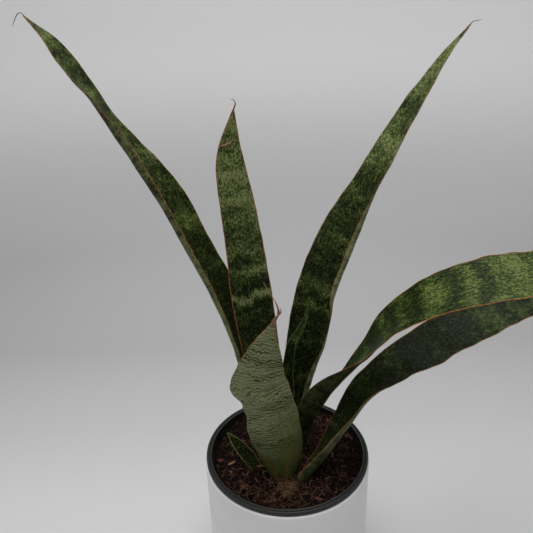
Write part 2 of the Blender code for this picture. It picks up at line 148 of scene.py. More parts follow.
class Paint:
    """The node tree of one material, ending in a Principled shader."""

    def __init__(self, name: str) -> None:
        """Start an empty tree.

        Args:
            name: The material's name.
        """
        self.material = bpy.data.materials.new(name)
        self.material.use_nodes = True
        self.tree = self.material.node_tree
        self.tree.nodes.clear()
        self.shader = self.tree.nodes.new("ShaderNodeBsdfPrincipled")
        output = self.tree.nodes.new("ShaderNodeOutputMaterial")
        self.tree.links.new(self.shader.outputs[0], output.inputs["Surface"])

    def node(self, kind: str, settings: dict, sockets: dict) -> bpy.types.Node:
        """Add any node.

        Args:
            kind: The node's type.
            settings: Its settings, with a ramp's stops under "stops".
            sockets: Values or wires by socket name or number.

        Returns:
            The new node.
        """
        node = self.tree.nodes.new(kind)
        for key, value in settings.items():
            if key == "stops":
                self._stops(node.color_ramp, value)
            else:
                setattr(node, key, value)
        for key, value in sockets.items():
            self.feed(node.inputs[key], value)
        return node

    def wire(self, kind: str, settings: dict, sockets: dict, output: Union[int, str] = 0) -> Wire:
        """Add any node and take one of its outputs.

        Args:
            kind: The node's type.
            settings: Its settings.
            sockets: Values or wires by socket name or number.
            output: The output's name or number.

        Returns:
            The output as a wire.
        """
        return Wire(self, self.node(kind, settings, sockets).outputs[output])

    def feed(self, socket: bpy.types.NodeSocket, value: Value) -> None:
        """Link a wire to a socket or set the socket's own value."""
        if isinstance(value, Wire):
            self.tree.links.new(value.socket, socket)
        elif isinstance(value, (int, float)):
            socket.default_value = value
        else:
            wanted = len(socket.default_value)
            socket.default_value = (*value, 1.0)[:wanted]

    @staticmethod
    def _stops(ramp: bpy.types.ColorRamp, stops: Sequence[tuple[float, Sequence[float]]]) -> None:
        """Give a ramp its stops, each a position and a colour or grey level."""
        while len(ramp.elements) < len(stops):
            ramp.elements.new(1.0)
        for element, (position, colour) in zip(ramp.elements, stops):
            element.position = position
            element.color = (*colour, 1.0) if isinstance(colour, tuple) else (colour, colour, colour, 1.0)

    def place(self) -> Wire:
        """The piece's own coordinates in metres."""
        return self.wire("ShaderNodeTexCoord", {}, {}, "Object")

    def attribute(self, name: str) -> Wire:
        """A number stored on the mesh."""
        return self.wire("ShaderNodeAttribute", {"attribute_name": name}, {}, "Fac")

    def uv(self, name: str) -> Wire:
        """One of the piece's UV maps."""
        return self.wire("ShaderNodeUVMap", {"uv_map": name}, {})

    def stretch(self, vector: Wire, scale: Sequence[float], shift: Sequence[float] = (0.0, 0.0, 0.0)) -> Wire:
        """Scale a pattern's coordinates and shift where it starts."""
        return self.wire("ShaderNodeMapping", {}, {"Vector": vector, "Scale": scale, "Location": shift})

    def axes(self, vector: Wire) -> tuple[Wire, Wire, Wire]:
        """A vector's three numbers."""
        node = self.node("ShaderNodeSeparateXYZ", {}, {0: vector})
        return Wire(self, node.outputs[0]), Wire(self, node.outputs[1]), Wire(self, node.outputs[2])

    def cloud(self, vector: Wire, scale: float, detail: float = 3.0, rough: float = 0.55) -> Wire:
        """Soft noise from 0 to 1.

        Args:
            vector: Coordinates.
            scale: Features for each unit of the coordinates.
            detail: Finer layers.
            rough: Share of the finer layers.

        Returns:
            The noise.
        """
        sockets = {"Vector": vector, "Scale": scale, "Detail": detail, "Roughness": rough}
        return self.wire("ShaderNodeTexNoise", {}, sockets)

    def ramp(self, value: Wire, stops: Sequence[tuple[float, Union[float, Colour]]]) -> Wire:
        """A colour or grey level read from stops."""
        return self.wire("ShaderNodeValToRGB", {"stops": stops}, {"Fac": value})

    def mix(self, factor: Term, first: Value, second: Value, blend: str = "MIX") -> Wire:
        """Mix two colours.

        Args:
            factor: Share of the second.
            first: The first colour.
            second: The second colour.
            blend: How they mix.

        Returns:
            The mixed colour.
        """
        settings = {"data_type": "RGBA", "blend_type": blend}
        return self.wire("ShaderNodeMix", settings, {0: factor, 6: first, 7: second}, 2)

    def bump(self, height: Wire, distance: float, under: Optional[Wire] = None) -> Wire:
        """A bumped normal.

        Args:
            height: Height from 0 to 1.
            distance: Metres that a height of 1 stands for.
            under: A normal to build on.

        Returns:
            The normal.
        """
        sockets = {"Height": height, "Distance": distance, "Strength": 1.0}
        if under is not None:
            sockets["Normal"] = under
        return self.wire("ShaderNodeBump", {}, sockets)

    def close(self, **sockets: Value) -> bpy.types.Material:
        """Feed the Principled shader.

        Args:
            **sockets: Its sockets by name, with underscores for spaces.

        Returns:
            The finished material.
        """
        for key, value in sockets.items():
            self.feed(self.shader.inputs[key.replace("_", " ")], value)
        return self.material


# ---------------------------------------------------------------- mesh helpers


def put(
    name: str, shape: bmesh.types.BMesh, material: bpy.types.Material, crease: float = 40.0
) -> bpy.types.Object:
    """Turn a bmesh into a piece that rides on the plant.

    Args:
        name: The piece's name.
        shape: Its mesh, which is freed.
        material: Its finish.
        crease: Edges sharper than this many degrees stay crisp.

    Returns:
        The piece.
    """
    mesh = bpy.data.meshes.new(name)
    shape.to_mesh(mesh)
    shape.free()
    mesh.materials.append(material)
    mesh.shade_smooth()
    mesh.set_sharp_from_angle(angle=math.radians(crease))
    piece = bpy.data.objects.new(name, mesh)
    bpy.context.scene.collection.objects.link(piece)
    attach(piece, "root")
    LOG.info("%s: %d faces", name, len(mesh.polygons))
    return piece


def spun(profile: Outline, sides: int) -> bmesh.types.BMesh:
    """Turn an outline of (radius, height) points about Z into a closed shape.

    Args:
        profile: The outline, from the axis round to the axis.
        sides: Steps of the turn.

    Returns:
        The turned shape, facing out.
    """
    shape = bmesh.new()
    points = [shape.verts.new((radius, 0.0, height)) for radius, height in profile]
    edges = [shape.edges.new(pair) for pair in zip(points, points[1:])]
    bmesh.ops.spin(
        shape,
        geom=points + edges,
        cent=(0.0, 0.0, 0.0),
        axis=(0.0, 0.0, 1.0),
        angle=2 * math.pi,
        steps=sides,
        use_merge=True,
    )
    bmesh.ops.remove_doubles(shape, verts=shape.verts, dist=MERGE_WITHIN)
    bmesh.ops.recalc_face_normals(shape, faces=shape.faces)
    return shape


def arc(centre: tuple[float, float], radius: float, start: float, end: float, steps: int) -> Outline:
    """Points of an outline along an arc, angles in degrees from outwards towards up."""
    points = []
    for i in range(steps + 1):
        angle = math.radians(start + (end - start) * i / steps)
        points.append((centre[0] + radius * math.cos(angle), centre[1] + radius * math.sin(angle)))
    return points


def straight_tube(sides: int, steps: int) -> bpy.types.Mesh:
    """A closed unit tube from z 0 to z 1 in even steps, to be bent along a path."""
    shape = bmesh.new()
    bmesh.ops.create_cone(
        shape,
        cap_ends=True,
        segments=sides,
        radius1=1.0,
        radius2=1.0,
        depth=1.0,
        matrix=Matrix.Translation((0.0, 0.0, 0.5)),
    )
    for i in range(1, steps):
        everything = shape.verts[:] + shape.edges[:] + shape.faces[:]
        level = (0.0, 0.0, i / steps)
        bmesh.ops.bisect_plane(shape, geom=everything, plane_co=level, plane_no=(0.0, 0.0, 1.0))
    mesh = bpy.data.meshes.new("tube")
    shape.to_mesh(mesh)
    shape.free()
    return mesh


def curve_point(points: Sequence[Vector], share: float) -> Vector:
    """A point on a smooth curve through the given points."""
    place = min(share, 1.0) * (len(points) - 1)
    index = min(int(place), len(points) - 2)
    rest = place - index
    before = points[max(index - 1, 0)]
    first, second = points[index], points[index + 1]
    after = points[min(index + 2, len(points) - 1)]
    pull = (second - before) / 2
    push = (after - first) / 2
    square, cube = rest * rest, rest * rest * rest
    return (
        first * (2 * cube - 3 * square + 1)
        + pull * (cube - 2 * square + rest)
        + second * (3 * square - 2 * cube)
        + push * (cube - square)
    )


def lay_tube(
    shape: bmesh.types.BMesh,
    template: bpy.types.Mesh,
    points: Sequence[Vector],
    thick: Callable[[float], float],
    flat: float = 1.0,
    tint: float = 0.5,
) -> None:
    """Bend a straight tube along a path and add it to a shape.

    Args:
        shape: The shape that grows.
        template: A straight tube.
        points: The path.
        thick: Radius at a share of the length.
        flat: Height of the section for each unit of its width.
        tint: A number that the finish reads.
    """
    tint_layer = shape.verts.layers.float.get("tint") or shape.verts.layers.float.new("tint")
    count = len(shape.verts)
    shape.from_mesh(template)
    shape.verts.ensure_lookup_table()
    frames: dict[int, tuple[Vector, Vector, Vector]] = {}
    for i in range(count, len(shape.verts)):
        vert = shape.verts[i]
        share = min(max(vert.co.z, 0.0), 1.0)
        key = round(share * 1000)
        if key not in frames:
            centre = curve_point(points, share)
            ahead = curve_point(points, min(share + 0.02, 1.0)) - curve_point(points, max(share - 0.02, 0.0))
            ahead.normalize()
            side = ahead.cross(Vector((0.13, 0.21, 0.97))).normalized()
            frames[key] = (centre, side, side.cross(ahead))
        centre, side, rise = frames[key]
        radius = thick(share)
        vert.co = centre + side * (vert.co.x * radius) + rise * (vert.co.y * radius * flat)
        vert[tint_layer] = tint


def tapered(radius: float, tip: float = 0.25) -> Callable[[float], float]:
    """A radius that thins towards the far end."""
    return lambda share: radius * (1 - (1 - tip) * share * share)


# ---------------------------------------------------------------- finishes


@dataclass(frozen=True)
class GlazeFinish:
    """Satin white glaze with a faint orange-peel skin and a little dust."""

    white: Colour = (0.79, 0.79, 0.785)
    dust: Colour = (0.66, 0.655, 0.64)

    def material(self) -> bpy.types.Material:
        """Build the finish."""
        paint = Paint("satin_glaze")
        place = paint.place()
        broad = paint.cloud(place, 14.0, 2.0)
        skin = paint.cloud(place, 420.0, 2.0, 0.5)
        specks = paint.cloud(place, 900.0, 2.0, 0.6).step(0.70, 0.80)
        height = paint.axes(place)[2]
        # The glaze greys towards the bottom, over its lowest 3 cm.
        low = height.step(0.03, 0.0)
        colour = paint.mix(broad.step(0.45, 0.75) * 0.35 + low * 0.3 + specks * 0.35, self.white, self.dust)
        return paint.close(
            Base_Color=colour,
            Roughness=0.34 + broad * 0.10 + specks * 0.2,
            Normal=paint.bump(skin, 0.00006, paint.bump(broad, 0.0004)),
            Specular_IOR_Level=0.5,
            Coat_Weight=0.12,
            Coat_Roughness=0.2,
        )


@dataclass(frozen=True)
class PlasticFinish:
    """Green-black moulded plastic: faint turning lines, painted highlight on the crests, water marks and soil
    dust.
    """

    body: Colour = (0.0048, 0.0058, 0.0045)
    # Grey of the painted highlight on the lip's crest, broken up by scuffs.
    highlight_and_scuff: Colour = (0.020, 0.023, 0.0185)
    dust: Colour = (0.10, 0.085, 0.065)
    # Heights of the lip's top band that takes the painted highlight.
    lit_crest: tuple = (137.5 * MM, 140.2 * MM)
    splash: tuple = (135.2 * MM, 133.0 * MM)

    def material(self) -> bpy.types.Material:
        """Build the finish."""
        paint = Paint("moulded_plastic")
        place = paint.place()
        broad = paint.cloud(place, 60.0, 3.0)
        grain = paint.cloud(place, 1400.0, 2.0)
        scuff = paint.cloud(paint.stretch(place, (1.0, 1.0, 6.0)), 300.0, 4.0, 0.7).step(0.52, 0.72)
        specks = paint.cloud(place, 700.0, 3.0, 0.7).step(0.66, 0.74)
        height = paint.axes(place)[2]
        # The lip's top band is lightened: a painted highlight where the light from above falls, broken up by
        # scuffs.
        lit_crest = height.step(*self.lit_crest)
        wall = height.step(*self.splash) * broad.step(0.35, 0.65)
        colour = paint.mix(lit_crest * (0.25 + scuff * 0.6), self.body, self.highlight_and_scuff)
        colour = paint.mix(specks * 0.5 + wall * 0.25, colour, self.dust)
        return paint.close(
            Base_Color=colour,
            Roughness=0.42 + broad * 0.14 + specks * 0.2,
            Normal=paint.bump(grain, 0.00003, paint.bump(broad, 0.0002)),
            Specular_IOR_Level=0.4,
        )


@dataclass(frozen=True)
class SoilFinish:
    """Dark damp potting mix with brown coir in it."""

    name: str = "potting_mix"
    stops: tuple = (
        (0.0, (0.0010, 0.0005, 0.0004)),
        (0.35, (0.0045, 0.0019, 0.0013)),
        (0.62, (0.041, 0.0170, 0.0105)),
        (0.85, (0.110, 0.050, 0.031)),
        (1.0, (0.21, 0.130, 0.078)),
    )
    tinted: bool = False

    def material(self) -> bpy.types.Material:
        """Build the finish, read from the pieces' own tint where they have one."""
        paint = Paint(self.name)
        place = paint.place()
        broad = paint.cloud(place, 55.0, 3.0)
        fine = paint.cloud(place, 620.0, 5.0, 0.7)
        grit = paint.cloud(place, 2300.0, 2.0, 0.6)
        if self.tinted:
            level = paint.attribute("tint") * 0.86 + fine * 0.22 - 0.06
        else:
            level = fine.step(0.30, 0.86) * 0.75 + broad * 0.22 - 0.05
        glint = grit.step(0.62, 0.78)
        return paint.close(
            Base_Color=paint.ramp(level, self.stops),
            Roughness=0.94 - glint * 0.2,
            Normal=paint.bump(grit, 0.0003, paint.bump(fine, 0.0014)),
            Specular_IOR_Level=0.1,
        )


@dataclass(frozen=True)
class StrawFinish:
    """Dry plant matter: fibres, straw, bark and dried leaf tips, tinted piece by piece."""

    name: str = "dry_fibre"
    stops: tuple = (
        (0.0, (0.012, 0.005, 0.003)),
        (0.4, (0.062, 0.025, 0.014)),
        (0.7, (0.170, 0.085, 0.046)),
        (1.0, (0.36, 0.235, 0.125)),
    )

    def material(self) -> bpy.types.Material:
        """Build the finish."""
        paint = Paint(self.name)
        place = paint.place()
        streak = paint.cloud(place, 900.0, 4.0, 0.65)
        broad = paint.cloud(place, 180.0, 2.0)
        level = paint.attribute("tint") + (streak - 0.5) * 0.45 + (broad - 0.5) * 0.2
        return paint.close(
            Base_Color=paint.ramp(level, self.stops),
            Roughness=0.78 + streak * 0.15,
            Normal=paint.bump(streak, 0.0003),
            Specular_IOR_Level=0.3,
        )


@dataclass(frozen=True)
class RhizomeFinish:
    """Tan underground stem with ring scars and clinging soil."""

    skin: Colour = (0.42, 0.26, 0.11)
    scar: Colour = (0.16, 0.085, 0.035)
    soil: Colour = (0.02, 0.012, 0.008)

    def material(self) -> bpy.types.Material:
        """Build the finish."""
        paint = Paint("rhizome_skin")
        place = paint.place()
        broad = paint.cloud(place, 90.0, 4.0)
        rings = paint.wire(
            "ShaderNodeTexWave",
            {"wave_type": "BANDS", "bands_direction": "DIAGONAL"},
            {"Vector": place, "Scale": 45.0, "Distortion": 6.0, "Detail": 3.0},
        )
        lines = rings.step(0.6, 0.95)
        colour = paint.mix(lines * 0.7, self.skin, self.scar)
        colour = paint.mix(broad.step(0.5, 0.7) * 0.8, colour, self.soil)
        return paint.close(
            Base_Color=colour,
            Roughness=0.7 + broad * 0.2,
            Normal=paint.bump(1.0 - lines, 0.0005, paint.bump(broad, 0.0008)),
        )


class Face(Enum):
    """Which face of a leaf the eye meets first."""

    UPPER = "leaf_blade"
    LOWER = "leaf_blade_pale"


@dataclass(frozen=True)
class LeafFinish:
    """Mottled snake-plant leaf: banded upper face, paler lined lower face and a thin corky margin.

    Tones lighten the upper face along the leaf: each is a share of the length and a level, where a half
    leaves the mottling as it is. Shades do the same for the lower face. Band pitch, cork width, skew and jag
    are in millimetres: skew slants the bands towards the margins, and jag makes their edges toothed. Lined is
    how much of the lower face's pattern is cross-lines and not mottling, streaky is how green and stained its
    foot is, and the leaf is dry from dry_from, a share of its length, to its tip.
    """

    name: str
    seed: float
    tones: tuple = ((0.0, 0.3), (0.4, 0.4), (1.0, 0.55))
    shades: tuple = ((0.0, 0.35), (0.3, 0.5), (1.0, 0.5))
    deep: Colour = (0.0012, 0.0028, 0.0004)
    dark: Colour = (0.0085, 0.0165, 0.0026)
    green: Colour = (0.042, 0.064, 0.0115)
    light: Colour = (0.205, 0.235, 0.084)
    frost: Colour = (0.290, 0.315, 0.170)
    pale: Colour = (0.225, 0.248, 0.125)
    vein: Colour = (0.022, 0.028, 0.010)
    cork: Colour = (0.30, 0.15, 0.065)
    rust: Colour = (0.13, 0.040, 0.016)
    band_pitch: float = 17.0
    cork_width: float = 0.55
    skew: float = 0.0
    jag: float = 15.0
    lined: float = 0.3
    streaky: float = 0.0
    dry_from: float = 0.990
    per_metre: float = 2.5
    scarred: bool = False

    def _upper(self, paint: Paint, span: Wire, across: Wire, share: Wire) -> tuple[Wire, Wire]:
        """Colour and mottling of the upper face.

        Args:
            paint: The material.
            span: Coordinates on the blade in metres.
            across: Place across the blade, from -1 to 1.
            share: Share of the blade's length.

        Returns:
            The colour, and the mottling from 0 to 1.
        """
        shift = (self.seed, self.seed * 0.37, 0.0)
        pitch = 1.0 / (self.band_pitch * MM)
        tongues = paint.cloud(paint.stretch(span, (1.0, 0.12, 1.0), shift), 480.0, 3.0, 0.7)
        slant = abs(across) * (self.skew * MM) + (tongues - 0.5) * (self.jag * MM)
        lifted = paint.wire("ShaderNodeCombineXYZ", {}, {1: slant})
        jagged = paint.wire("ShaderNodeVectorMath", {"operation": "ADD"}, {0: span, 1: lifted})
        bands = paint.cloud(paint.stretch(jagged, (0.30, 1.0, 1.0), shift), pitch, 2.0, 0.5)
        patches = paint.cloud(paint.stretch(jagged, (0.8, 1.0, 1.0), shift), pitch * 2.4, 3.0, 0.6)
        blotch = paint.cloud(paint.stretch(span, (1.0, 0.60, 1.0), shift), 300.0, 4.0, 0.7)
        specks = paint.cloud(paint.stretch(span, (1.0, 0.55, 1.0), shift), 820.0, 5.0, 0.75)
        grain = paint.cloud(paint.stretch(span, (1.0, 0.4, 1.0), shift), 700.0, 4.0, 0.7)
        sway = paint.cloud(paint.stretch(span, (1.0, 0.6, 1.0), shift), 34.0, 2.0)
        tone = paint.ramp(share + slant * self.per_metre + (sway - 0.5) * 0.10, self.tones)
        level = bands * 0.55 + patches * 0.45 + (tone - 0.5) * 0.60
        broad = (level + (blotch - 0.5) * 0.30).step(0.30, 0.62)
        mottle = (level + (blotch - 0.5) * 0.35 + (specks - 0.5) * 1.45).step(0.55, 0.66)
        gloom = (level + (blotch - 0.5) * 0.7 + (grain - 0.5) * 0.9).step(0.46, 0.34)
        dapple = (specks * 0.75 + blotch * 0.25).step(0.47, 0.60) * (0.40 + broad * 0.35)
        colour = paint.mix(broad, self.dark, self.green)
        colour = paint.mix(gloom * 0.7, colour, self.deep)
        colour = paint.mix(dapple, colour, paint.mix(0.5, self.green, self.light))
        colour = paint.mix(mottle * (0.45 + broad * 0.45), colour, self.light)
        frost = (grain * 0.6 + specks * 0.4 + (level - 0.5) * 0.30).step(0.56, 0.62)
        colour = paint.mix(frost * 0.6, colour, self.frost)
        return colour, mottle

    def _lower(self, paint: Paint, span: Wire, share: Wire) -> tuple[Wire, Wire]:
        """Colour and cross-lines of the lower face.

        Args:
            paint: The material.
            span: Coordinates on the blade in metres.
            share: Share of the blade's length.

        Returns:
            The colour, and the cross-lines from 0 to 1.
        """
        shift = (self.seed * 0.61, self.seed, 0.0)
        wobble = paint.cloud(paint.stretch(span, (1.0, 0.40, 1.0), shift), 270.0, 3.0, 0.65)
        sag = paint.cloud(paint.stretch(span, (1.0, 1.0, 1.0), shift), 60.0, 2.0, 0.5)
        drift = (wobble - 0.5) * (8.5 * MM) + (sag - 0.5) * (9.0 * MM)
        lifted = paint.wire("ShaderNodeCombineXYZ", {}, {1: drift})
        wavy = paint.wire("ShaderNodeVectorMath", {"operation": "ADD"}, {0: span, 1: lifted})
        waves = paint.wire(
            "ShaderNodeTexWave",
            {"wave_type": "BANDS", "bands_direction": "Y"},
            {
                "Vector": paint.stretch(wavy, (0.6, 1.0, 1.0), shift),
                "Scale": 102.0,
                "Distortion": 2.6,
                "Detail": 2.0,
                "Detail Scale": 2.4,
                "Detail Roughness": 0.6,
            },
        )
        breaks = paint.cloud(paint.stretch(span, (0.6, 1.0, 1.0), shift), 150.0, 3.0, 0.65).step(0.36, 0.58)
        lines = waves.step(0.22, 0.90) * (0.55 + breaks * 0.45)
        bands = paint.cloud(paint.stretch(wavy, (0.25, 1.0, 1.0), shift), 85.0, 3.0, 0.6).step(0.42, 0.62)
        mottles = paint.cloud(paint.stretch(span, (1.0, 0.7, 1.0), shift), 230.0, 4.0, 0.7).step(0.44, 0.62)
        fine = paint.cloud(paint.stretch(span, (1.0, 0.5, 1.0), shift), 900.0, 4.0, 0.7)
        shade = paint.ramp(share, self.shades)
        pattern = lines * (0.58 + bands * 0.42) * self.lined + mottles * (0.5 * (1.0 - self.lined))
        level = 0.03 + pattern + bands * (0.34 - self.lined * 0.16) + (0.5 - shade) + (fine - 0.5) * 0.5
        return paint.mix(level, self.pale, self.vein), lines

    def material(self) -> bpy.types.Material:
        """Build the finish."""
        paint = Paint(self.name)
        span = paint.uv("span")
        u, share, _ = paint.axes(paint.uv("shape"))
        across = (u - 0.5) * 2.0
        rim = paint.attribute("rim")
        upper = paint.attribute("upper")
        top, mottle = self._upper(paint, span, across, share)
        under, lines = self._lower(paint, span, share)
        veins = paint.cloud(paint.stretch(span, (1.0, 0.02, 1.0), (self.seed, 0.0, 0.0)), 1100.0, 2.0, 0.6)
        ragged = paint.cloud(span, 330.0, 3.0, 0.6)
        bloom = paint.cloud(span, 42.0, 3.0, 0.6)
        colour = paint.mix(upper.step(0.4, 0.6), under, top)
        furrows = paint.ramp(veins, ((0.3, 0.55), (0.7, 1.05)))
        colour = paint.mix(upper * 0.45 + 0.25, colour, furrows, "MULTIPLY")
        if self.streaky > 0:
            streaks = paint.cloud(paint.stretch(span, (1.0, 0.10, 1.0), (self.seed, 0.0, 0.0)), 420.0, 3.0)
            flank = across.step(0.35, -0.55)
            fresh = (share.step(0.44, 0.06) + flank * share.step(0.66, 0.36) * 0.4) * (0.45 + streaks * 0.5)
            colour = paint.mix((fresh * self.streaky).least(0.75), colour, (0.046, 0.060, 0.018))
            foot = (share.step(0.26, 0.03) + flank * share.step(0.62, 0.30) * 0.6) * streaks.step(0.46, 0.62)
            colour = paint.mix((foot * self.streaky).least(0.7), colour, (0.090, 0.090, 0.014))
            burnt = (share - across * 0.05).step(0.22, 0.05) * streaks.step(0.56, 0.66) * self.streaky
            colour = paint.mix(burnt, colour, (0.19, 0.060, 0.012))
        edge = rim + (ragged - 0.5) * (self.cork_width * MM)
        cork = edge.step(self.cork_width * MM * 1.15, self.cork_width * MM * 0.65)
        cork = cork * (0.62 + share.step(0.15, 0.55) * 0.38)
        worn = paint.mix(ragged.step(0.40, 0.62), self.rust, self.cork)
        dry = (share + (ragged - 0.5) * 0.01).step(self.dry_from, self.dry_from + 0.008)
        colour = paint.mix(cork.most(dry), colour, worn)
        height = veins * 0.35 + mottle * 0.15 + lines * 0.2
        if self.scarred:
            bow = (across + 1.0) * (across + 1.0) * 0.0105
            middle = across + 0.25
            width = (1.0 - middle * middle * 1.9).most(0.05) * 0.0034
            scar = (abs(share - 0.914 - bow - (ragged - 0.5) * 0.004) / width).step(1.0, 0.6)
            colour = paint.mix(scar, colour, (0.31, 0.175, 0.095))
            height = height - scar * 0.8
        return paint.close(
            Base_Color=colour,
            Roughness=0.40 + ragged * 0.10 + cork * 0.25 + (bloom - 0.5) * 0.18,
            Normal=paint.bump(height, 0.00022, paint.bump(bloom, 0.0012)),
            Specular_IOR_Level=0.07,
        )


@dataclass(frozen=True)
class FloorFinish:
    """Pale paper sweep, with painted shade that darkens the floor behind the pot."""

    paper: Colour = (0.66, 0.66, 0.664)
    depth: float = 2.0
    # Levels of the painted shade from the front of the floor to the back, where 1 is no shade.
    fade: tuple = (
        (0.0, 1.0), (0.48, 1.0), (0.54, 0.90), (0.60, 0.74), (0.70, 0.58), (0.9, 0.62), (1.0, 0.66),
    )

    def material(self) -> bpy.types.Material:
        """Build the finish: painted shade darkens the paper behind the pot and fades out again up the wall.
        """
        paint = Paint("paper_sweep")
        place = paint.place()
        tooth = paint.cloud(place, 220.0, 3.0)
        _, back, rise = paint.axes(place)
        grey = paint.mix(tooth * 0.05, self.paper, (0.62, 0.62, 0.63))
        # Painted shade: the floor darkens behind the pot and lightens again up the wall.
        tone = paint.ramp(back / self.depth + 0.5, self.fade)
        tone = paint.mix(rise.step(0.0, 0.42), tone, (1.0, 1.0, 1.0))
        grey = paint.mix(1.0, grey, tone, "MULTIPLY")
        return paint.close(Base_Color=grey, Roughness=0.85 + tooth * 0.1, Specular_IOR_Level=0.2)


# ---------------------------------------------------------------- pots


@dataclass
class Cachepot:
    """White outer pot: straight wall, rounded rim, closed floor with a shallow recess under it."""

    radius: float = 75.0 * MM
    height: float = 135.2 * MM
    wall: float = 3.6 * MM
    floor: float = 5.0 * MM
    base_edge: float = 3.0 * MM
    recess: float = 1.2 * MM
    foot_width: float = 6.0 * MM
    sides: int = 192

    def build(self) -> bpy.types.Object:
        """Turn and dress the pot."""
        inner = self.radius - self.wall
        rim = self.wall / 2
        foot = self.radius - self.base_edge - self.foot_width
        profile = [(0.0, self.floor)]
        profile += arc((inner - self.base_edge, self.floor + self.base_edge), self.base_edge, -90, 0, 6)
        profile += [(inner, self.height * share) for share in (0.3, 0.6, 0.9)]
        profile += arc((inner + rim, self.height - rim), rim, 180, 0, 12)
        profile += [(self.radius, self.height * share) for share in (0.9, 0.6, 0.3)]
        profile += arc((self.radius - self.base_edge, self.base_edge), self.base_edge, 0, -90, 8)
        profile += arc((foot, self.recess), self.recess, -90, -180, 4)
        profile += [(foot - self.recess * 3, self.recess * 1.1), (0.0, self.recess * 1.1)]
        piece = put("cachepot_body", spun(profile, self.sides), GlazeFinish().material(), 50.0)
        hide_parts("cachepot")
        return piece


@dataclass
class NurseryPot:
    """Dark liner whose rolled lip rests on the cachepot: two ridges with a groove, and drain holes."""

    lip_outer: float = 74.0 * MM
    lip_width: float = 5.0 * MM
    lip_bottom: float = 135.5 * MM
    lip_height: float = 3.9 * MM
    lip_edge: float = 0.5 * MM
    lip_chamfer: float = 0.4 * MM
    groove: float = 1.0 * MM
    throat: float = 2.0 * MM
    throat_setback: float = 0.25 * MM
    skirt: float = 9.0 * MM
    skirt_setback: float = 0.8 * MM
    foot_setback: float = 4.0 * MM
    wall: float = 1.6 * MM
    top_radius: float = 70.6 * MM
    base_radius: float = 61.6 * MM
    bottom: float = 22.0 * MM
    drain_holes: int = 6
    drain_radius: float = 4.5 * MM
    drain_circle: float = 38.2 * MM
    drain_turn: float = 10.0
    sides: int = 192

    def _profile(self) -> Outline:
        """The outline from the floor's top, over the lip, to the floor's underside."""
        top = self.lip_bottom + self.lip_height
        inner = self.lip_outer - self.lip_width
        floor = self.bottom + self.wall
        base_inner = self.base_radius - self.wall
        bead = self.lip_width * 0.26
        profile = [(0.0, floor), (base_inner - 2 * self.wall, floor), (base_inner, floor + self.wall)]
        for share in (0.25, 0.5, 0.75, 0.9):
            radius = base_inner + (inner - base_inner) * share
            profile.append((radius, floor + (self.lip_bottom - floor) * share))
        profile.append((inner - self.throat_setback, self.lip_bottom - self.throat))
        profile.append((inner, self.lip_bottom))
        profile += arc((inner + bead * 0.8, top - bead * 0.8), bead * 0.8, 180, 50, 6)
        profile.append((inner + bead * 1.75, top - self.groove))
        profile.append((inner + bead * 2.0, top - self.groove))
        outer_bead = self.lip_width * 0.25
        profile += arc((self.lip_outer - outer_bead, top - outer_bead), outer_bead, 130, 0, 8)
        profile.append((self.lip_outer, self.lip_bottom + self.lip_edge))
        profile.append((self.lip_outer - self.lip_chamfer, self.lip_bottom))
        profile.append((self.top_radius, self.lip_bottom))
        profile.append((self.top_radius - self.skirt_setback, self.lip_bottom - self.skirt))
        profile += [(self.base_radius, floor + self.wall), (base_inner, self.bottom)]
        profile += [(base_inner - self.foot_setback, self.bottom), (0.0, self.bottom)]
        return profile

    def _drill(self, piece: bpy.types.Object) -> None:
        """Cut the drain holes through the floor."""
        shape = bmesh.new()
        for i in range(self.drain_holes):
            angle = math.radians(self.drain_turn) + 2 * math.pi * i / self.drain_holes
            x, y = self.drain_circle * math.cos(angle), self.drain_circle * math.sin(angle)
            bmesh.ops.create_cone(
                shape,
                cap_ends=True,
                segments=28,
                radius1=self.drain_radius,
                radius2=self.drain_radius,
                depth=6 * self.wall,
                matrix=Matrix.Translation((x, y, self.bottom)),
            )
        mesh = bpy.data.meshes.new("drain_drills")
        shape.to_mesh(mesh)
        shape.free()
        drills = bpy.data.objects.new("drain_drills", mesh)
        bpy.context.scene.collection.objects.link(drills)
        boolean = piece.modifiers.new("drain", "BOOLEAN")
        boolean.operation = "DIFFERENCE"
        boolean.object = drills
        graph = bpy.context.evaluated_depsgraph_get()
        cut = bpy.data.meshes.new_from_object(piece.evaluated_get(graph), depsgraph=graph)
        piece.modifiers.clear()
        piece.data = cut
        bpy.data.objects.remove(drills, do_unlink=True)

    def build(self) -> bpy.types.Object:
        """Turn, drill and dress the liner."""
        piece = put("nursery_liner", spun(self._profile(), self.sides), PlasticFinish().material(), 50.0)
        self._drill(piece)
        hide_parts("nursery_pot")
        return piece


# ---------------------------------------------------------------- soil


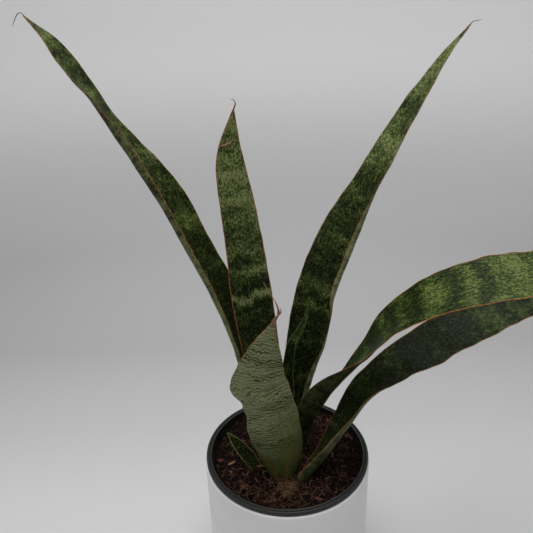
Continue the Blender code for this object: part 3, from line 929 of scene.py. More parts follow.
@dataclass
class SoilBed:
    """Potting mix: a rough plug, loose crumbs, coir fibres, bark and straw.

    Lumps are the layers of roughness, each its width, its place in the noise and its height.
    """

    top: float = 131.5 * MM
    bottom: float = 23.9 * MM
    edge: float = 68.8 * MM
    foot: float = 59.6 * MM
    rings: int = 66
    sides: int = 220
    crumbs: int = 1700
    fibres: int = 850
    tuft: int = 120
    bark: int = 80
    chip_size: tuple = (7.4 * MM, 2.3 * MM, 1.2 * MM)
    back_rise: float = 3.2 * MM
    left_dip: float = 3.4 * MM
    wall_dip: float = 1.2 * MM
    wall_band: float = 0.14
    lumps: tuple = ((11.0 * MM, 0.0, 1.7 * MM), (3.6 * MM, 3.0, 1.1 * MM), (1.9 * MM, 7.0, 0.6 * MM))
    dice: random.Random = field(default_factory=lambda: random.Random(41))

    def height(self, x: float, y: float) -> float:
        """Level of the soil at a place: higher at the back, lower at the left wall, rough all over."""
        reach = math.hypot(x, y) / self.edge
        back = max(0.0, min(1.0, (y - 20 * MM) / (45 * MM)))
        left = max(0.0, min(1.0, (-x - 38 * MM) / (30 * MM)))
        mound = self.back_rise * back * back * (3 - 2 * back) - self.left_dip * left * left * (3 - 2 * left)
        rough = sum(noise.noise(Vector((x, y, layer)) / width) * tall for width, layer, tall in self.lumps)
        wall = -self.wall_dip * max(0.0, (reach - 1 + self.wall_band) / self.wall_band)
        return self.top + mound + rough + wall

    def _plug(self) -> bpy.types.Object:
        """The rough plug under everything."""
        profile = [(self.edge * i / self.rings, self.top) for i in range(self.rings + 1)]
        profile += [(self.edge - (self.edge - self.foot) * 0.5, (self.top + self.bottom) / 2)]
        profile += [(self.foot, self.bottom), (0.0, self.bottom)]
        shape = spun(profile, self.sides)
        for vert in shape.verts:
            if vert.co.z > self.top - 0.01 * MM:
                vert.co.z = self.height(vert.co.x, vert.co.y)
        piece = put("soil_plug", shape, SoilFinish().material(), 180.0)
        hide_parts("soil")
        return piece

    def _spot(self, reach: float = 0.97) -> tuple[float, float]:
        """A random place on the soil, even over its area."""
        radius = self.edge * reach * math.sqrt(self.dice.random())
        angle = self.dice.uniform(0, 2 * math.pi)
        return radius * math.cos(angle), radius * math.sin(angle)

    def _crumbs(self) -> bpy.types.Object:
        """Loose crumbs of peat and bark, with a few pale grains."""
        shape = bmesh.new()
        tint_layer = shape.verts.layers.float.new("tint")
        for i in range(self.crumbs):
            x, y = self._spot()
            size = self.dice.choice((0.5, 0.65, 0.8, 1.0, 1.3, 1.8)) * self.dice.uniform(0.75, 1.2) * MM
            pale = i % 60 == 0
            tint = 1.15 if pale else self.dice.triangular(0.0, 1.0, 0.24)
            size = min(size, 0.8 * MM) if pale else size
            squash = Matrix.Diagonal((1.3, self.dice.uniform(0.40, 0.90), self.dice.uniform(0.35, 0.75), 1.0))
            turn = Matrix.Rotation(self.dice.uniform(0, math.pi), 4, "Z")
            tip = Matrix.Rotation(self.dice.uniform(-0.7, 0.7), 4, "X")
            lift = self.height(x, y) + size * self.dice.uniform(0.05, 0.45)
            place = Matrix.Translation((x, y, lift)) @ turn @ tip @ squash
            detail = 2 if size > 1.0 * MM else 1
            made = bmesh.ops.create_icosphere(shape, subdivisions=detail, radius=size, matrix=place)["verts"]
            for vert in made:
                bump = noise.noise(vert.co / (0.9 * MM) + Vector((i, 0.0, 0.0)))
                vert.co += (vert.co - place.translation) * bump * 0.8
                vert[tint_layer] = tint
        piece = put("soil_crumbs", shape, SoilFinish(name="loose_crumbs", tinted=True).material(), 35.0)
        return piece

    def _fibre_path(self, x: float, y: float, length: float, rise: float) -> list[Vector]:
        """A bent path that lies on the soil from a place."""
        heading = self.dice.uniform(0, 2 * math.pi)
        bend = self.dice.uniform(-1.5, 1.5)
        points = []
        px, py = x, y
        for i in range(5):
            reach = math.hypot(px, py)
            if reach > self.edge * 0.985:
                px, py = px * self.edge * 0.985 / reach, py * self.edge * 0.985 / reach
            arch = rise * math.sin(math.pi * i / 4)
            points.append(Vector((px, py, self.height(px, py) + 0.35 * MM + arch)))
            px += length / 4 * math.cos(heading)
            py += length / 4 * math.sin(heading)
            heading += bend * self.dice.uniform(0.1, 0.5)
        return points

    def _fibres(self) -> bpy.types.Object:
        """Coir fibres, mostly reddish brown and some straw-coloured."""
        template = straight_tube(4, 5)
        shape = bmesh.new()
        for i in range(self.fibres):
            x, y = self._spot()
            if i % 5 == 0:
                x, y = self.dice.gauss(-12, 20) * MM, self.dice.gauss(-50, 8) * MM
            if math.hypot(x, y) > self.edge * 0.95:
                x, y = x * 0.75, y * 0.75
            length = self.dice.triangular(3, 17, 7) * MM
            path = self._fibre_path(x, y, length, self.dice.uniform(0.0, 2.4) * MM)
            tint = self.dice.triangular(0.05, 1.0, 0.36)
            lay_tube(shape, template, path, tapered(self.dice.uniform(0.07, 0.20) * MM), 0.8, tint)
        for i in range(self.tuft):
            x, y = self.dice.gauss(-2, 5) * MM, self.dice.gauss(-40, 4) * MM
            path = self._fibre_path(x, y, self.dice.uniform(3, 11) * MM, self.dice.uniform(0.5, 4.5) * MM)
            tint = self.dice.uniform(0.50, 0.92)
            lay_tube(shape, template, path, tapered(self.dice.uniform(0.08, 0.24) * MM), 0.8, tint)
        bpy.data.meshes.remove(template)
        piece = put("coir_fibres", shape, StrawFinish(name="coir").material(), 180.0)
        return piece

    def _bark(self) -> bpy.types.Object:
        """Flat splinters of bark and straw."""
        template = straight_tube(6, 4)
        shape = bmesh.new()
        for i in range(self.bark):
            x, y = self._spot(0.92)
            if i % 4 == 0:
                x, y = self.dice.uniform(-48, 5) * MM, self.dice.uniform(-58, -36) * MM
            length = self.dice.triangular(4, 13, 6) * MM
            path = self._fibre_path(x, y, length, self.dice.uniform(0.0, 1.2) * MM)
            width = self.dice.uniform(0.25, 0.75) * MM
            swell = lambda share, wide=width: wide * (0.35 + 0.65 * math.sin(math.pi * (0.12 + share * 0.76)))
            lay_tube(shape, template, path, swell, 0.5, self.dice.triangular(0.1, 0.8, 0.35))
        bpy.data.meshes.remove(template)
        piece = put("bark_splinters", shape, StrawFinish(name="bark").material(), 50.0)
        return piece

    def _chip(self, node: str, piece_name: str, turn: float, tint: float) -> bpy.types.Object:
        """A split wood chip in the place of a frame node.

        Args:
            node: The node that it stands for.
            piece_name: The piece's name.
            turn: Its turn about Z in degrees.
            tint: How pale its wood is, from 0 to 1.

        Returns:
            The piece.
        """
        low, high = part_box(node)
        centre = (low + high) / 2
        shape = bmesh.new()
        bmesh.ops.create_cube(shape, size=1.0)
        bmesh.ops.scale(shape, vec=self.chip_size, verts=shape.verts)
        long_edges = [edge for edge in shape.edges if edge.calc_length() > 5 * MM]
        bmesh.ops.subdivide_edges(shape, edges=long_edges, cuts=9, use_grid_fill=True)
        bmesh.ops.bevel(
            shape,
            geom=[edge for edge in shape.edges if edge.calc_face_angle(0.0) > 1.0],
            offset=0.35 * MM,
            segments=2,
            profile=0.5,
            affect="EDGES",
            material=-1,
        )
        tint_layer = shape.verts.layers.float.new("tint")
        for vert in shape.verts:
            share = vert.co.x / (self.chip_size[0] / 2)
            vert.co.y *= 1.0 - 0.45 * abs(share) ** 2
            vert.co.y += 0.5 * MM * noise.noise(Vector((share * 2.2, len(node), 0.0)))
            vert.co.z += 0.35 * MM * noise.noise(vert.co / (1.6 * MM))
            vert[tint_layer] = tint
        bmesh.ops.transform(shape, matrix=Matrix.Rotation(math.radians(turn), 4, "Z"), verts=shape.verts)
        lift = max(centre.z, self.height(centre.x, centre.y) + 0.9 * MM)
        bmesh.ops.translate(shape, vec=(centre.x, centre.y, lift), verts=shape.verts)
        piece = put(piece_name, shape, StrawFinish(name=piece_name + "_wood").material(), 40.0)
        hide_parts(node)
        return piece

    def build(self) -> None:
        """Build the plug and everything loose on it."""
        self._plug()
        self._crumbs()
        self._fibres()
        self._bark()
        self._chip("wood_chip_left", "split_chip_left", 35, 0.74)
        self._chip("wood_chip_front", "split_chip_front", -20, 0.42)


# ---------------------------------------------------------------- leaves


@dataclass(frozen=True)
class Nick:
    """A dent in a margin: side -1 left or 1 right, place and reach along the leaf, depth inwards.

    A depth below 0 is a swelling. All are in millimetres.
    """

    side: int
    place: float
    reach: float
    depth: float


@dataclass(frozen=True)
class Thread:
    """A dried thread at a leaf's tip: points as steps from the tip in millimetres, and its radius."""

    points: tuple
    radius: float
    tint: float = 0.5
    flat: float = 0.6


@dataclass(frozen=True)
class Blade:
    """One leaf's shape.

    Stations run from foot to tip, each x, y, height above the foot, width, azimuth and elevation that the
    upper face looks to, and the roll of the left and right margins. Ripple is how far the margins wave, in
    millimetres.
    """

    node: str
    stations: tuple
    curl: tuple = (1.0, 1.0)
    ripple: float = 0.5
    ripple_pitch: float = 34.0
    ruffle: float = 0.015
    phase: float = 0.0
    nicks: tuple = ()
    threads: tuple = ()


@dataclass
class Row:
    """One cross-section of a leaf."""

    spine: Vector
    sideways: Vector
    outward: Vector
    share: float
    along: float
    half_left: float
    half_right: float
    left: list[tuple[float, float, float]]
    right: list[tuple[float, float, float]]
    thickness: float


class Leaf:
    """Lofts one leaf as a closed blade with thin margins, and hangs its dried threads on it."""

    foot_height: float = 129.8 * MM
    columns: int = 32
    row_pitch: float = 1.7
    thick_foot: float = 4.4
    thick_blade: float = 2.3
    thick_tip: float = 0.9
    foot_zone: float = 0.28
    tip_zone: float = 0.8
    margin_share: float = 0.35

    def __init__(self, blade: Blade, finish: LeafFinish, face: Face = Face.UPPER) -> None:
        """Keep what the leaf is made from.

        Args:
            blade: Its shape.
            finish: Its finish.
            face: The face that the eye meets first.
        """
        self.blade = blade
        self.finish = finish
        self.face = face
        stations = blade.stations
        self.length = sum((Vector(b[:3]) - Vector(a[:3])).length for a, b in zip(stations, stations[1:]))
        self.row_count = int(self.length / self.row_pitch)

    def _smooth(self) -> list[list[float]]:
        """Station values read at even steps along a smooth curve."""
        stations = self.blade.stations
        reach = [0.0]
        for before, after in zip(stations, stations[1:]):
            reach.append(reach[-1] + (Vector(after[:3]) - Vector(before[:3])).length)
        spans = [after - before for before, after in zip(reach, reach[1:])]
        slopes = [
            [(b - a) / span for a, b in zip(low, high)]
            for low, high, span in zip(stations, stations[1:], spans)
        ]
        tangents = [slopes[0]]
        for i in range(1, len(spans)):
            share = spans[i - 1] / (spans[i - 1] + spans[i])
            tangents.append([a * (1 - share) + b * share for a, b in zip(slopes[i - 1], slopes[i])])
        tangents.append(slopes[-1])
        rows = []
        index = 0
        for step in range(self.row_count + 1):
            along = reach[-1] * step / self.row_count
            while index < len(spans) - 1 and reach[index + 1] < along:
                index += 1
            u = (along - reach[index]) / spans[index]
            keep = (1 + 2 * u) * (1 - u) ** 2
            leave = u * (1 - u) ** 2 * spans[index]
            arrive = u * u * (u - 1) * spans[index]
            low, high = stations[index], stations[index + 1]
            first, second = tangents[index], tangents[index + 1]
            rows.append([
                keep * a + (1 - keep) * b + leave * p + arrive * q
                for a, b, p, q in zip(low, high, first, second)
            ])
        return rows

    def _half_width(self, side: int, along: float, width: float) -> float:
        """Half the width on one side, with its nicks and its ruffle."""
        wander = noise.noise(Vector((along / 13.0, side * 7.0, self.blade.phase)))
        half = width / 2 * (1 + self.blade.ruffle * wander * 2)
        for nick in self.blade.nicks:
            if nick.side == side:
                near = max(0.0, 1 - abs(along - nick.place) / nick.reach)
                half -= nick.depth * near * near * (3 - 2 * near)
        return max(half, 0.4)

    def _arm(self, side: int, half: float, roll: float) -> list[tuple[float, float, float]]:
        """Points of one side of a section from the middle out: across, outwards and lean, in millimetres."""
        steps = self.columns // 2
        curl = self.blade.curl[0] if side < 0 else self.blade.curl[1]
        across = rise = before = 0.0
        arm = [(0.0, 0.0, 0.0)]
        for k in range(1, steps + 1):
            place = math.sin(math.pi / 2 * k / steps)
            middle = math.radians(roll) * ((place + before) / 2) ** curl
            across += side * half * (place - before) * math.cos(middle)
            rise += half * (place - before) * math.sin(middle)
            arm.append((across, rise, side * math.radians(roll) * place ** curl))
            before = place
        return arm

    def _thickness(self, share: float) -> float:
        """Thickness at the middle of the blade: stout at the foot and thin at the tip, in millimetres."""
        if share < self.foot_zone:
            return self.thick_blade + (self.thick_foot - self.thick_blade) * (1 - share / self.foot_zone) ** 2
        if share > self.tip_zone:
            thinned = (share - self.tip_zone) / (1 - self.tip_zone)
            return self.thick_blade + (self.thick_tip - self.thick_blade) * thinned
        return self.thick_blade

    def _rows(self) -> list[Row]:
        """Every cross-section from foot to tip."""
        values = self._smooth()
        spine = [Vector(row[:3]) * MM + Vector((0.0, 0.0, self.foot_height)) for row in values]
        rows = []
        for i, row in enumerate(values):
            tangent = (spine[min(i + 2, self.row_count)] - spine[max(i - 2, 0)]).normalized()
            azimuth, elevation = math.radians(row[4]), math.radians(row[5])
            level = math.cos(elevation)
            outward = Vector((level * math.cos(azimuth), level * math.sin(azimuth), math.sin(elevation)))
            outward = (outward - tangent * outward.dot(tangent)).normalized()
            share = i / self.row_count
            along = share * self.length
            left = self._half_width(-1, along, row[3])
            right = self._half_width(1, along, row[3])
            rows.append(Row(
                spine[i], tangent.cross(outward), outward, share, along, left, right,
                self._arm(-1, left, row[6]), self._arm(1, right, row[7]), self._thickness(share),
            ))
        return rows

    def _corner(self, row: Row, column: int, upper: bool) -> tuple[Vector, float]:
        """Where a point of the blade lies.

        Args:
            row: Its cross-section.
            column: Its column, from the left margin to the right.
            upper: Whether it is on the upper face.

        Returns:
            The place in metres, and its distance from the middle line in millimetres, left negative.
        """
        steps = self.columns // 2
        arm = row.left if column < steps else row.right
        across, rise, lean = arm[abs(column - steps)]
        side = -1 if column < steps else 1
        place = math.sin(math.pi / 2 * abs(column - steps) / steps)
        half = row.half_left if side < 0 else row.half_right
        span = side * place * half
        body = 1 - (1 - self.margin_share) * place ** 2
        rounding = math.sqrt(max(0.0, 1 - place ** 12)) * 0.85 + 0.15
        offset = min(row.thickness / 2 * body * rounding, max(half * 0.7, 0.25))
        pitch = self.blade.ripple_pitch
        wave = noise.noise(Vector((row.along / pitch * 2, side * 3.0, self.blade.phase)))
        swell = noise.noise(Vector((span / 11, row.along / 16, self.blade.phase + 4)))
        fade = min(1.0, row.share / 0.15) * min(1.0, (1 - row.share) / 0.06)
        lift = (self.blade.ripple * 2 * wave * place ** 3 + 0.55 * swell * (1 - place ** 4)) * fade
        offset = lift + (offset if upper else -offset)
        across -= math.sin(lean) * offset
        rise += math.cos(lean) * offset
        corner = row.spine + row.sideways * (across * MM) + row.outward * (rise * MM)
        return corner, span

    def _mesh(self) -> bmesh.types.BMesh:
        """The closed blade with its two UV maps and its stored numbers."""
        shape = bmesh.new()
        bmesh.ops.create_grid(shape, x_segments=self.columns, y_segments=self.row_count, size=0.5)
        upper_side = shape.verts[:] + shape.edges[:] + shape.faces[:]
        lower_side = bmesh.ops.duplicate(shape, geom=upper_side)["geom"]
        lower_verts = [item for item in lower_side if isinstance(item, bmesh.types.BMVert)]
        bmesh.ops.translate(shape, vec=(0.0, 0.0, -0.01), verts=lower_verts)
        lower_faces = [item for item in lower_side if isinstance(item, bmesh.types.BMFace)]
        bmesh.ops.reverse_faces(shape, faces=lower_faces)
        bmesh.ops.bridge_loops(shape, edges=[edge for edge in shape.edges if edge.is_boundary])
        rows = self._rows()
        upper_layer = shape.verts.layers.float.new("upper")
        rim_layer = shape.verts.layers.float.new("rim")
        shape_map = shape.loops.layers.uv.new("shape")
        span_map = shape.loops.layers.uv.new("span")
        places = {}
        for vert in shape.verts:
            column = round((vert.co.x + 0.5) * self.columns)
            row = rows[round((vert.co.y + 0.5) * self.row_count)]
            upper = vert.co.z > -0.005
            corner, span = self._corner(row, column, upper)
            half = row.half_left if span < 0 else row.half_right
            steps = self.columns // 2
            across = math.copysign(math.sin(math.pi / 2 * abs(column - steps) / steps), column - steps)
            places[vert] = ((across + 1) / 2, row.share, span * MM, row.along * MM)
            vert[upper_layer] = 1.0 if upper else 0.0
            vert[rim_layer] = (half - abs(span)) * MM
            if row is rows[0]:
                corner.z = self.foot_height
            vert.co = corner
        for face in shape.faces:
            for loop in face.loops:
                u, v, span, along = places[loop.vert]
                loop[shape_map].uv = (u, v)
                loop[span_map].uv = (span, along)
        bmesh.ops.recalc_face_normals(shape, faces=shape.faces)
        return shape

    def _hang_threads(self) -> None:
        """Dried threads at the tip, as one piece."""
        if not self.blade.threads:
            return
        template = straight_tube(8, 18)
        shape = bmesh.new()
        tip = Vector(self.blade.stations[-1][:3]) * MM + Vector((0.0, 0.0, self.foot_height))
        for thread in self.blade.threads:
            points = [tip + Vector(step) * MM for step in thread.points]
            lay_tube(shape, template, points, tapered(thread.radius * MM, 0.3), thread.flat, thread.tint)
        for vert in shape.verts:
            kink = Vector((noise.noise(vert.co / (1.5 * MM)), 0.0, noise.noise(vert.co / (1.3 * MM))))
            vert.co += kink * 0.12 * MM
        bpy.data.meshes.remove(template)
        name = self.blade.node + "_dry_tip"
        piece = put(name, shape, StrawFinish(name=name + "_husk").material(), 180.0)

    def build(self) -> None:
        """Loft and dress the leaf."""
        piece = put(self.blade.node + "_blade", self._mesh(), self.finish.material(), 180.0)
        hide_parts(self.blade.node)
        self._hang_threads()


@dataclass
class Plant:
    """The leaves of the plant, each with its own shape and mottling."""

    leaves: list[Leaf] = field(default_factory=list)

    def __post_init__(self) -> None:
        """List the leaves from the tallest to the pup."""
        self.leaves = [
            self._tall_left(),
            self._tall_centre(),
            self._front_short(),
            self._tall_right(),
            self._young_rolled(),
            self._arching_upper(),
            self._arching_lower(),
            self._pup(),
        ]

    @staticmethod
    def _tall_left() -> Leaf:
        """Tall leaf that leans left, its left margin rolled over its face."""
        stations = (
            (-22, 22, 0, 24, -60, 20, 70, 70),
            (-42, 26, 114, 35, -43, 25, 105, 40),
            (-55, 28, 153, 38, -42, 25, 115, 35),
            (-76, 31, 200, 39, -38, 25, 120, 30),
            (-93, 34, 238, 39, -38, 25, 120, 25),
            (-110, 36, 266, 36, -30, 25, 135, 25),
            (-122, 38, 284, 33, -18, 25, 135, 25),
            (-135, 40, 305, 30, -4, 20, 70, 25),
            (-143, 41, 320, 28, -4, 20, 40, 20),
            (-151, 42, 332, 26, -12, 20, 30, 20),
            (-160, 43, 347, 23, -20, 20, 25, 20),
            (-169, 44, 361, 15, -22, 20, 20, 15),
            (-179, 45, 372, 5, -28, 20, 10, 10),
            (-186, 46, 379, 1.2, -30, 20, 0, 0),
        )
        blade = Blade(
            "leaf_tall_left",
            stations,
            curl=(1.5, 1.5),
            ripple=0.5,
            phase=1.3,
            threads=(
                Thread(
                    ((0.5, 0, -0.5), (-1, 0, 1.5), (-4, 0.5, 1.0), (-7, 1, -2.5), (-9.5, 1, -7)), 0.5, 0.75
                ),
            ),
        )
        tones = (
            (0.0, 0.40), (0.2, 0.25), (0.33, 0.04), (0.42, 0.12), (0.46, 0.32), (0.50, 0.22),
            (0.56, 0.50), (0.6, 0.34), (0.66, 0.46), (0.72, 0.36), (0.78, 0.34), (0.86, 0.40),
            (0.94, 0.46), (1.0, 0.42),
        )
        finish = LeafFinish(
            "mottled_leaf_left",
            3.1,
            tones,
            ((0.0, 0.42), (0.4, 0.42), (0.5, 0.24), (0.6, 0.10), (1.0, 0.06)),
            light=(0.185, 0.215, 0.062),
            frost=(0.255, 0.280, 0.120),
            pale=(0.200, 0.226, 0.096),
        )
        return Leaf(blade, finish)

    @staticmethod
    def _tall_centre() -> Leaf:
        """Upright leaf that faces the front, with a scar and a hooked dry tip."""
        stations = (
            (-6, 12, 0, 24, -80, 0, 60, 60),
            (-22, 12, 118, 34, -85, 0, 30, 30),
            (-27, 13, 162, 35, -86, 0, 24, 24),
            (-31, 14, 205, 31, -88, 0, 20, 20),
            (-36, 16, 246, 27, -88, 0, 18, 18),
            (-39, 17, 270, 23, -90, 0, 15, 15),
            (-39, 18, 285, 17, -90, 0, 12, 12),
            (-37, 19, 299, 9, -92, 0, 10, 10),
            (-35, 20, 312, 1.2, -92, 0, 0, 0),
        )
        blade = Blade(
            "leaf_tall_centre",
            stations,
            ripple=0.35,
            phase=5.2,
            threads=(
                Thread(
                    ((-0.3, 0, -1.5), (0.8, 0, 1.5), (1.6, 0, 4.0), (0.4, 0, 6.6), (-1.6, -0.5, 6.8)),
                    0.7,
                    0.68,
                ),
            ),
        )
        tones = (
            (0.0, 0.30), (0.42, 0.28), (0.48, 0.24), (0.506, 0.20), (0.524, 0.92), (0.542, 0.20),
            (0.57, 0.36), (0.598, 0.58), (0.62, 0.34), (0.67, 0.62), (0.70, 0.46), (0.76, 0.62),
            (0.82, 0.70), (0.90, 0.66), (1.0, 0.6),
        )
        finish = LeafFinish(
            "mottled_leaf_centre", 8.4, tones, cork=(0.34, 0.14, 0.07), rust=(0.20, 0.06, 0.028), scarred=True
        )
        return Leaf(blade, finish)

    @staticmethod
    def _front_short() -> Leaf:
        """Short broad leaf in front, its pale lower face to the front, with a torn dried tip."""
        stations = (
            (-4, -28, 0, 34, 95, 0, 75, 75),
            (-4, -30, 14, 40, 95, 0, 55, 55),
            (-8, -33, 41, 46, 95, 0, 40, 40),
            (-13, -37, 69, 48, 95, 0, 30, 30),
            (-19, -41, 97, 46, 95, 0, 25, 25),
            (-22, -42, 106, 47, 95, 0, 25, 25),
            (-21, -44, 124, 39, 95, 0, 20, 20),
            (-19, -46, 137, 31, 95, 0, 15, 15),
            (-15, -48, 155, 17, 95, 0, 10, 10),
            (-12, -49, 165, 8, 95, 0, 10, 10),
            (-9, -50, 175, 1.2, 95, 0, 0, 0),
        )
        blade = Blade(
            "leaf_front_short",
            stations,
            ripple=0.35,
            ripple_pitch=26.0,
            phase=9.7,
            nicks=(
                Nick(1, 112, 3, -0.6), Nick(1, 104, 6, 1.4), Nick(1, 97, 13, 3.6), Nick(1, 83, 12, 3.8),
                Nick(1, 72, 14, 2.2), Nick(-1, 58, 9, 0.8), Nick(-1, 84, 8, 0.6),
            ),
            threads=(
                Thread(
                    ((-1.5, 0, -6), (1.2, 0, 0), (2.8, 0, 4.5), (1.4, 0, 11), (-2, 0, 18), (-7.5, 1, 28)),
                    1.4,
                    0.78,
                    0.4,
                ),
                Thread(
                    ((-2.5, 0, -5), (0.5, -0.5, 1), (3.2, -0.5, 3), (4.4, -0.5, 5), (4.0, -0.5, 8)), 0.9, 0.78
                ),
            ),
        )
        shades = (
            (0.0, 0.06), (0.10, 0.16), (0.2, 0.33), (0.3, 0.50), (0.36, 0.42), (0.45, 0.56), (0.5, 0.46),
            (0.57, 0.60), (0.68, 0.48), (0.73, 0.58), (0.78, 0.46), (0.85, 0.54), (1.0, 0.5),
        )
        finish = LeafFinish(
            "pale_leaf_front", 12.9, shades=shades, lined=1.0, streaky=1.0, cork=(0.32, 0.20, 0.10)
        )
        return Leaf(blade, finish, Face.LOWER)

    @staticmethod
    def _tall_right() -> Leaf:
        """Tall leaf that leans right, its right margin rolled over."""
        stations = (
            (3, 38, 0, 28, -100, 10, 60, 200),
            (17, 40, 67, 37, -100, 10, 30, 235),
            (24, 41, 102, 42, -100, 10, 20, 140),
            (28, 42, 130, 41, -100, 10, 12, 110),
            (35, 43, 155, 43, -100, 10, 10, 205),
            (46, 45, 184, 43, -108, 10, 10, 205),
            (60, 47, 216, 41, -128, 12, 10, 165),
            (72, 49, 243, 34, -146, 15, 10, 70),
            (84, 51, 266, 31, -149, 15, 10, 45),
            (97, 53, 290, 28, -156, 15, 10, 40),
            (111, 55, 314, 23, -158, 15, 10, 30),
            (121, 57, 330, 17, -162, 15, 10, 20),
            (131, 58, 345, 11, -165, 15, 10, 15),
            (147, 60, 364, 1.2, -160, 15, 0, 0),
        )
        blade = Blade(
            "leaf_tall_right",
            stations,
            curl=(1.5, 2.6),
            ripple=0.4,
            phase=14.1,
            threads=(
                Thread(((-2.5, 0, -2), (0, 0, 0.5), (2, 0, 2.2), (5, 0, 2.6), (8, 0, 3.4)), 0.55, 0.30),
            ),
        )
        tones = (
            (0.0, 0.22), (0.16, 0.36), (0.22, 0.18), (0.27, 0.42), (0.31, 0.12), (0.335, 0.50),
            (0.36, 0.14), (0.39, 0.62), (0.43, 0.10), (0.48, 0.34), (0.52, 0.42), (0.56, 0.20),
            (0.61, 0.44), (0.65, 0.36), (0.70, 0.56), (0.76, 0.50), (0.80, 0.46), (0.85, 0.60),
            (0.92, 0.60), (1.0, 0.50),
        )
        return Leaf(blade, LeafFinish("mottled_leaf_right", 17.7, tones))

    @staticmethod
    def _young_rolled() -> Leaf:
        """Young narrow leaf, still rolled, between the tall ones."""
        stations = (
            (3, 24, 0, 13, -90, 0, 110, 110),
            (3, 22, 52, 15, -95, 0, 100, 90),
            (4, 22, 95, 13, -100, 0, 90, 80),
            (7, 21, 110, 11, -100, 0, 80, 80),
            (12, 21, 120, 8, -100, 0, 70, 70),
            (18, 21, 133, 4.5, -100, 0, 60, 40),
            (22, 21, 154, 1.2, -100, 0, 0, 0),
        )
        blade = Blade("leaf_young_rolled", stations, ripple=0.2, phase=20.3)
        finish = LeafFinish(
            "mottled_leaf_young", 21.5, ((0.0, 0.30), (0.55, 0.32), (0.75, 0.44), (1.0, 0.56)),
            cork=(0.10, 0.125, 0.045), rust=(0.035, 0.050, 0.013), cork_width=0.4,
        )
        return Leaf(blade, finish)

    @staticmethod
    def _arching_upper() -> Leaf:
        """Upper of the two leaves that arch to the right."""
        stations = (
            (8, 2, 0, 30, 112, 10, 70, 115),
            (21, 1, 42, 34, 116, 14, 68, 112),
            (35, -4, 70, 35, 126, 22, 58, 95),
            (53, -8, 96, 35, 148, 34, 48, 62),
            (70, -12, 122, 35, 175, 50, 30, 35),
            (82, -16, 146, 36, 196, 57, 20, 25),
            (97, -21, 163, 38, 204, 54, 15, 15),
            (115, -26, 177, 40, 208, 50, 12, 10),
            (134, -31, 187, 41, 211, 48, 10, 10),
            (152, -36, 194, 41, 211, 45, 10, 10),
            (178, -41, 200, 40, 210, 45, 10, 10),
            (214, -45, 203, 34, 212, 48, 12, 12),
            (250, -47, 199, 22, 216, 52, 12, 12),
            (284, -48, 189, 1.2, 218, 55, 0, 0),
        )
        blade = Blade("leaf_arching_upper", stations, ripple=0.55, ruffle=0.03, phase=25.8)
        tones = (
            (0.0, 0.10), (0.3, 0.16), (0.345, 0.50), (0.38, 0.10), (0.415, 0.56), (0.45, 0.14),
            (0.48, 0.58), (0.51, 0.16), (0.545, 0.64), (0.58, 0.26), (0.615, 0.70), (0.65, 0.36),
            (0.69, 0.74), (0.74, 0.52), (0.8, 0.7), (1.0, 0.5),
        )
        finish = LeafFinish(
            "mottled_leaf_upper",
            26.2,
            tones,
            # The lower face is painted dark towards the foot: painted shade where the foot lies between the
            # other leaves.
            ((0.0, 0.02), (0.3, 0.06), (0.45, 0.4), (1.0, 0.5)),
            dark=(0.0090, 0.0190, 0.0018),
            green=(0.028, 0.050, 0.0060),
            light=(0.135, 0.165, 0.042),
            frost=(0.200, 0.225, 0.090),
            # Pale and vein colours of the lower face are darkened as painted shade.
            pale=(0.070, 0.085, 0.030),
            vein=(0.009, 0.012, 0.003),
            band_pitch=12.0,
            skew=7.0,
            jag=36.0,
            cork=(0.36, 0.15, 0.05),
            rust=(0.22, 0.065, 0.02),
        )
        return Leaf(blade, finish)

    @staticmethod
    def _arching_lower() -> Leaf:
        """Lower of the two leaves that arch to the right."""
        stations = (
            (14, -29, 0, 24, 140, 35, 80, 80),
            (31, -24, 20, 28, 160, 42, 60, 80),
            (51, -17, 51, 32, 190, 55, 45, 80),
            (70, -9, 78, 35, 215, 62, 30, 70),
            (84, -4, 89, 37, 222, 60, 25, 50),
            (101, 0, 101, 38, 225, 56, 20, 30),
            (122, 5, 112, 39, 232, 52, 15, 15),
            (142, 9, 123, 40, 236, 50, 12, 10),
            (165, 14, 133, 40, 236, 48, 10, 10),
            (192, 19, 145, 40, 235, 46, 10, 10),
            (234, 24, 156, 33, 236, 50, 12, 12),
            (270, 28, 158, 20, 238, 54, 12, 12),
            (302, 31, 153, 1.2, 240, 56, 0, 0),
        )
        blade = Blade(
            "leaf_arching_lower",
            stations,
            ripple=0.6,
            ruffle=0.03,
            phase=31.4,
            nicks=(Nick(1, 163, 14, -2.0),),
        )
        tones = (
            (0.0, 0.34), (0.12, 0.18), (0.17, 0.44), (0.22, 0.14), (0.27, 0.40), (0.32, 0.08),
            (0.37, 0.24), (0.42, 0.04), (0.48, 0.26), (0.53, 0.16), (0.6, 0.40), (0.68, 0.44), (1.0, 0.5),
        )
        finish = LeafFinish(
            "mottled_leaf_lower",
            32.6,
            tones,
            ((0.0, 0.04), (0.3, 0.18), (1.0, 0.35)),
            pale=(0.165, 0.190, 0.090),
            light=(0.110, 0.128, 0.055),
            frost=(0.150, 0.165, 0.095),
            cork=(0.34, 0.17, 0.06),
            rust=(0.2, 0.07, 0.025),
        )
        return Leaf(blade, finish)

    @staticmethod
    def _pup() -> Leaf:
        """Small pup at the left of the front leaf."""
        stations = (
            (-29, -13, 0, 12, -60, 30, 60, 60),
            (-38, -11, 15, 13, -60, 30, 40, 40),
            (-46, -10, 27, 9, -60, 30, 30, 30),
            (-53, -9, 37, 1.2, -60, 30, 0, 0),
        )
        finish = LeafFinish(
            "young_pup_leaf",
            37.1,
            ((0.0, 0.02), (1.0, 0.2)),
            dark=(0.009, 0.017, 0.003),
            green=(0.020, 0.033, 0.006),
            cork=(0.16, 0.15, 0.05),
            rust=(0.09, 0.09, 0.03),
            cork_width=0.55,
        )
        return Leaf(Blade("pup_leaf", stations, ripple=0.15, phase=38.0), finish)

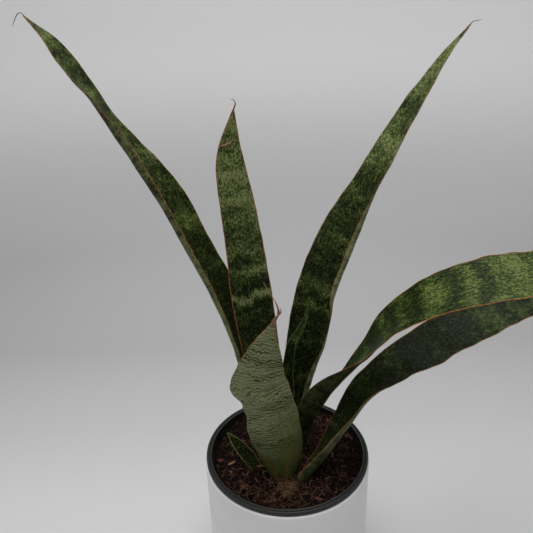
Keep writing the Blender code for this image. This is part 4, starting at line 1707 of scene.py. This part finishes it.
    def build(self) -> None:
        """Build every leaf and dress the buried stem."""
        for leaf in self.leaves:
            leaf.build()
        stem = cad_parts["rhizome"]
        stem.data.materials.clear()
        stem.data.materials.append(RhizomeFinish().material())
        LOG.info("rhizome: frame node dressed")


# ---------------------------------------------------------------- studio


@dataclass
class Studio:
    """Round pale sweep, soft light from above and the camera."""

    floor_radius: float = 1.0
    sweep_radius: float = 0.55
    wall_height: float = 1.5
    camera_place: Sequence[float] = (-0.014, -0.3965, 0.4991)
    camera_pitch: float = 23.89
    camera_roll: float = -1.66
    lens: float = 37.15
    ambient: float = 0.30

    def _floor(self) -> None:
        """Floor that sweeps up into a round wall."""
        edge = self.floor_radius
        profile = [(edge * i / 10, 0.0) for i in range(11)]
        profile += arc((edge, self.sweep_radius), self.sweep_radius, -90, 0, 24)[1:]
        profile += [(edge + self.sweep_radius, self.wall_height)]
        shape = spun(profile, 128)
        bmesh.ops.reverse_faces(shape, faces=shape.faces)
        mesh = bpy.data.meshes.new("paper_floor")
        shape.to_mesh(mesh)
        shape.free()
        mesh.materials.append(FloorFinish().material())
        mesh.shade_smooth()
        floor = bpy.data.objects.new("paper_floor", mesh)
        bpy.context.scene.collection.objects.link(floor)

    @staticmethod
    def _softbox(name: str, place: Sequence[float], aim: Sequence[float], size: float, power: float) -> None:
        """A square soft light.

        Args:
            name: The light's name.
            place: Where it hangs.
            aim: The point that it faces.
            size: Its side in metres.
            power: Its power in watts.
        """
        light = bpy.data.lights.new(name, "AREA")
        light.shape = "SQUARE"
        light.size = size
        light.energy = power
        lamp = bpy.data.objects.new(name, light)
        bpy.context.scene.collection.objects.link(lamp)
        lamp.location = place
        lamp.rotation_euler = (Vector(aim) - Vector(place)).to_track_quat("-Z", "Y").to_euler()

    def _camera(self) -> None:
        """The camera in front, a little above the leaves' middle, looking down."""
        pitch, roll = math.radians(self.camera_pitch), math.radians(self.camera_roll)
        ahead = Vector((0.0, math.cos(pitch), -math.sin(pitch)))
        right = Vector((1.0, 0.0, 0.0))
        up = right.cross(ahead)
        across = right * math.cos(roll) + up * math.sin(roll)
        upward = up * math.cos(roll) - right * math.sin(roll)
        data = bpy.data.cameras.new("camera")
        data.lens = self.lens
        data.sensor_width = 36.0
        data.clip_start = 0.02
        camera = bpy.data.objects.new("camera", data)
        bpy.context.scene.collection.objects.link(camera)
        camera.rotation_euler = Matrix((across, upward, -ahead)).transposed().to_euler()
        camera.location = self.camera_place
        bpy.context.scene.camera = camera

    def build(self) -> None:
        """Set up the floor, the lights, the world and the camera."""
        self._floor()
        self._softbox("top_softbox", (-0.02, 0.02, 1.15), (0.0, 0.0, 0.0), 0.8, 8.3)
        self._softbox("wall_wash", (0.05, 0.35, 1.45), (0.1, 1.5, 0.95), 0.7, 10.5)
        self._softbox("front_fill", (-0.4, -0.9, 1.1), (0.0, 0.0, 0.2), 0.6, 1.5)
        world = bpy.data.worlds.new("room")
        world.use_nodes = True
        backdrop = world.node_tree.nodes["Background"]
        backdrop.inputs["Color"].default_value = (1.0, 1.0, 0.995, 1.0)
        backdrop.inputs["Strength"].default_value = self.ambient
        bpy.context.scene.world = world
        bpy.context.scene.view_settings.view_transform = "Standard"
        self._camera()


def main() -> None:
    """Build the pots, the soil, the plant and the studio."""
    logging.basicConfig(level=logging.INFO, format="%(name)s: %(message)s")
    Cachepot().build()
    NurseryPot().build()
    SoilBed().build()
    Plant().build()
    Studio().build()


if __name__ == "__main__":
    main()
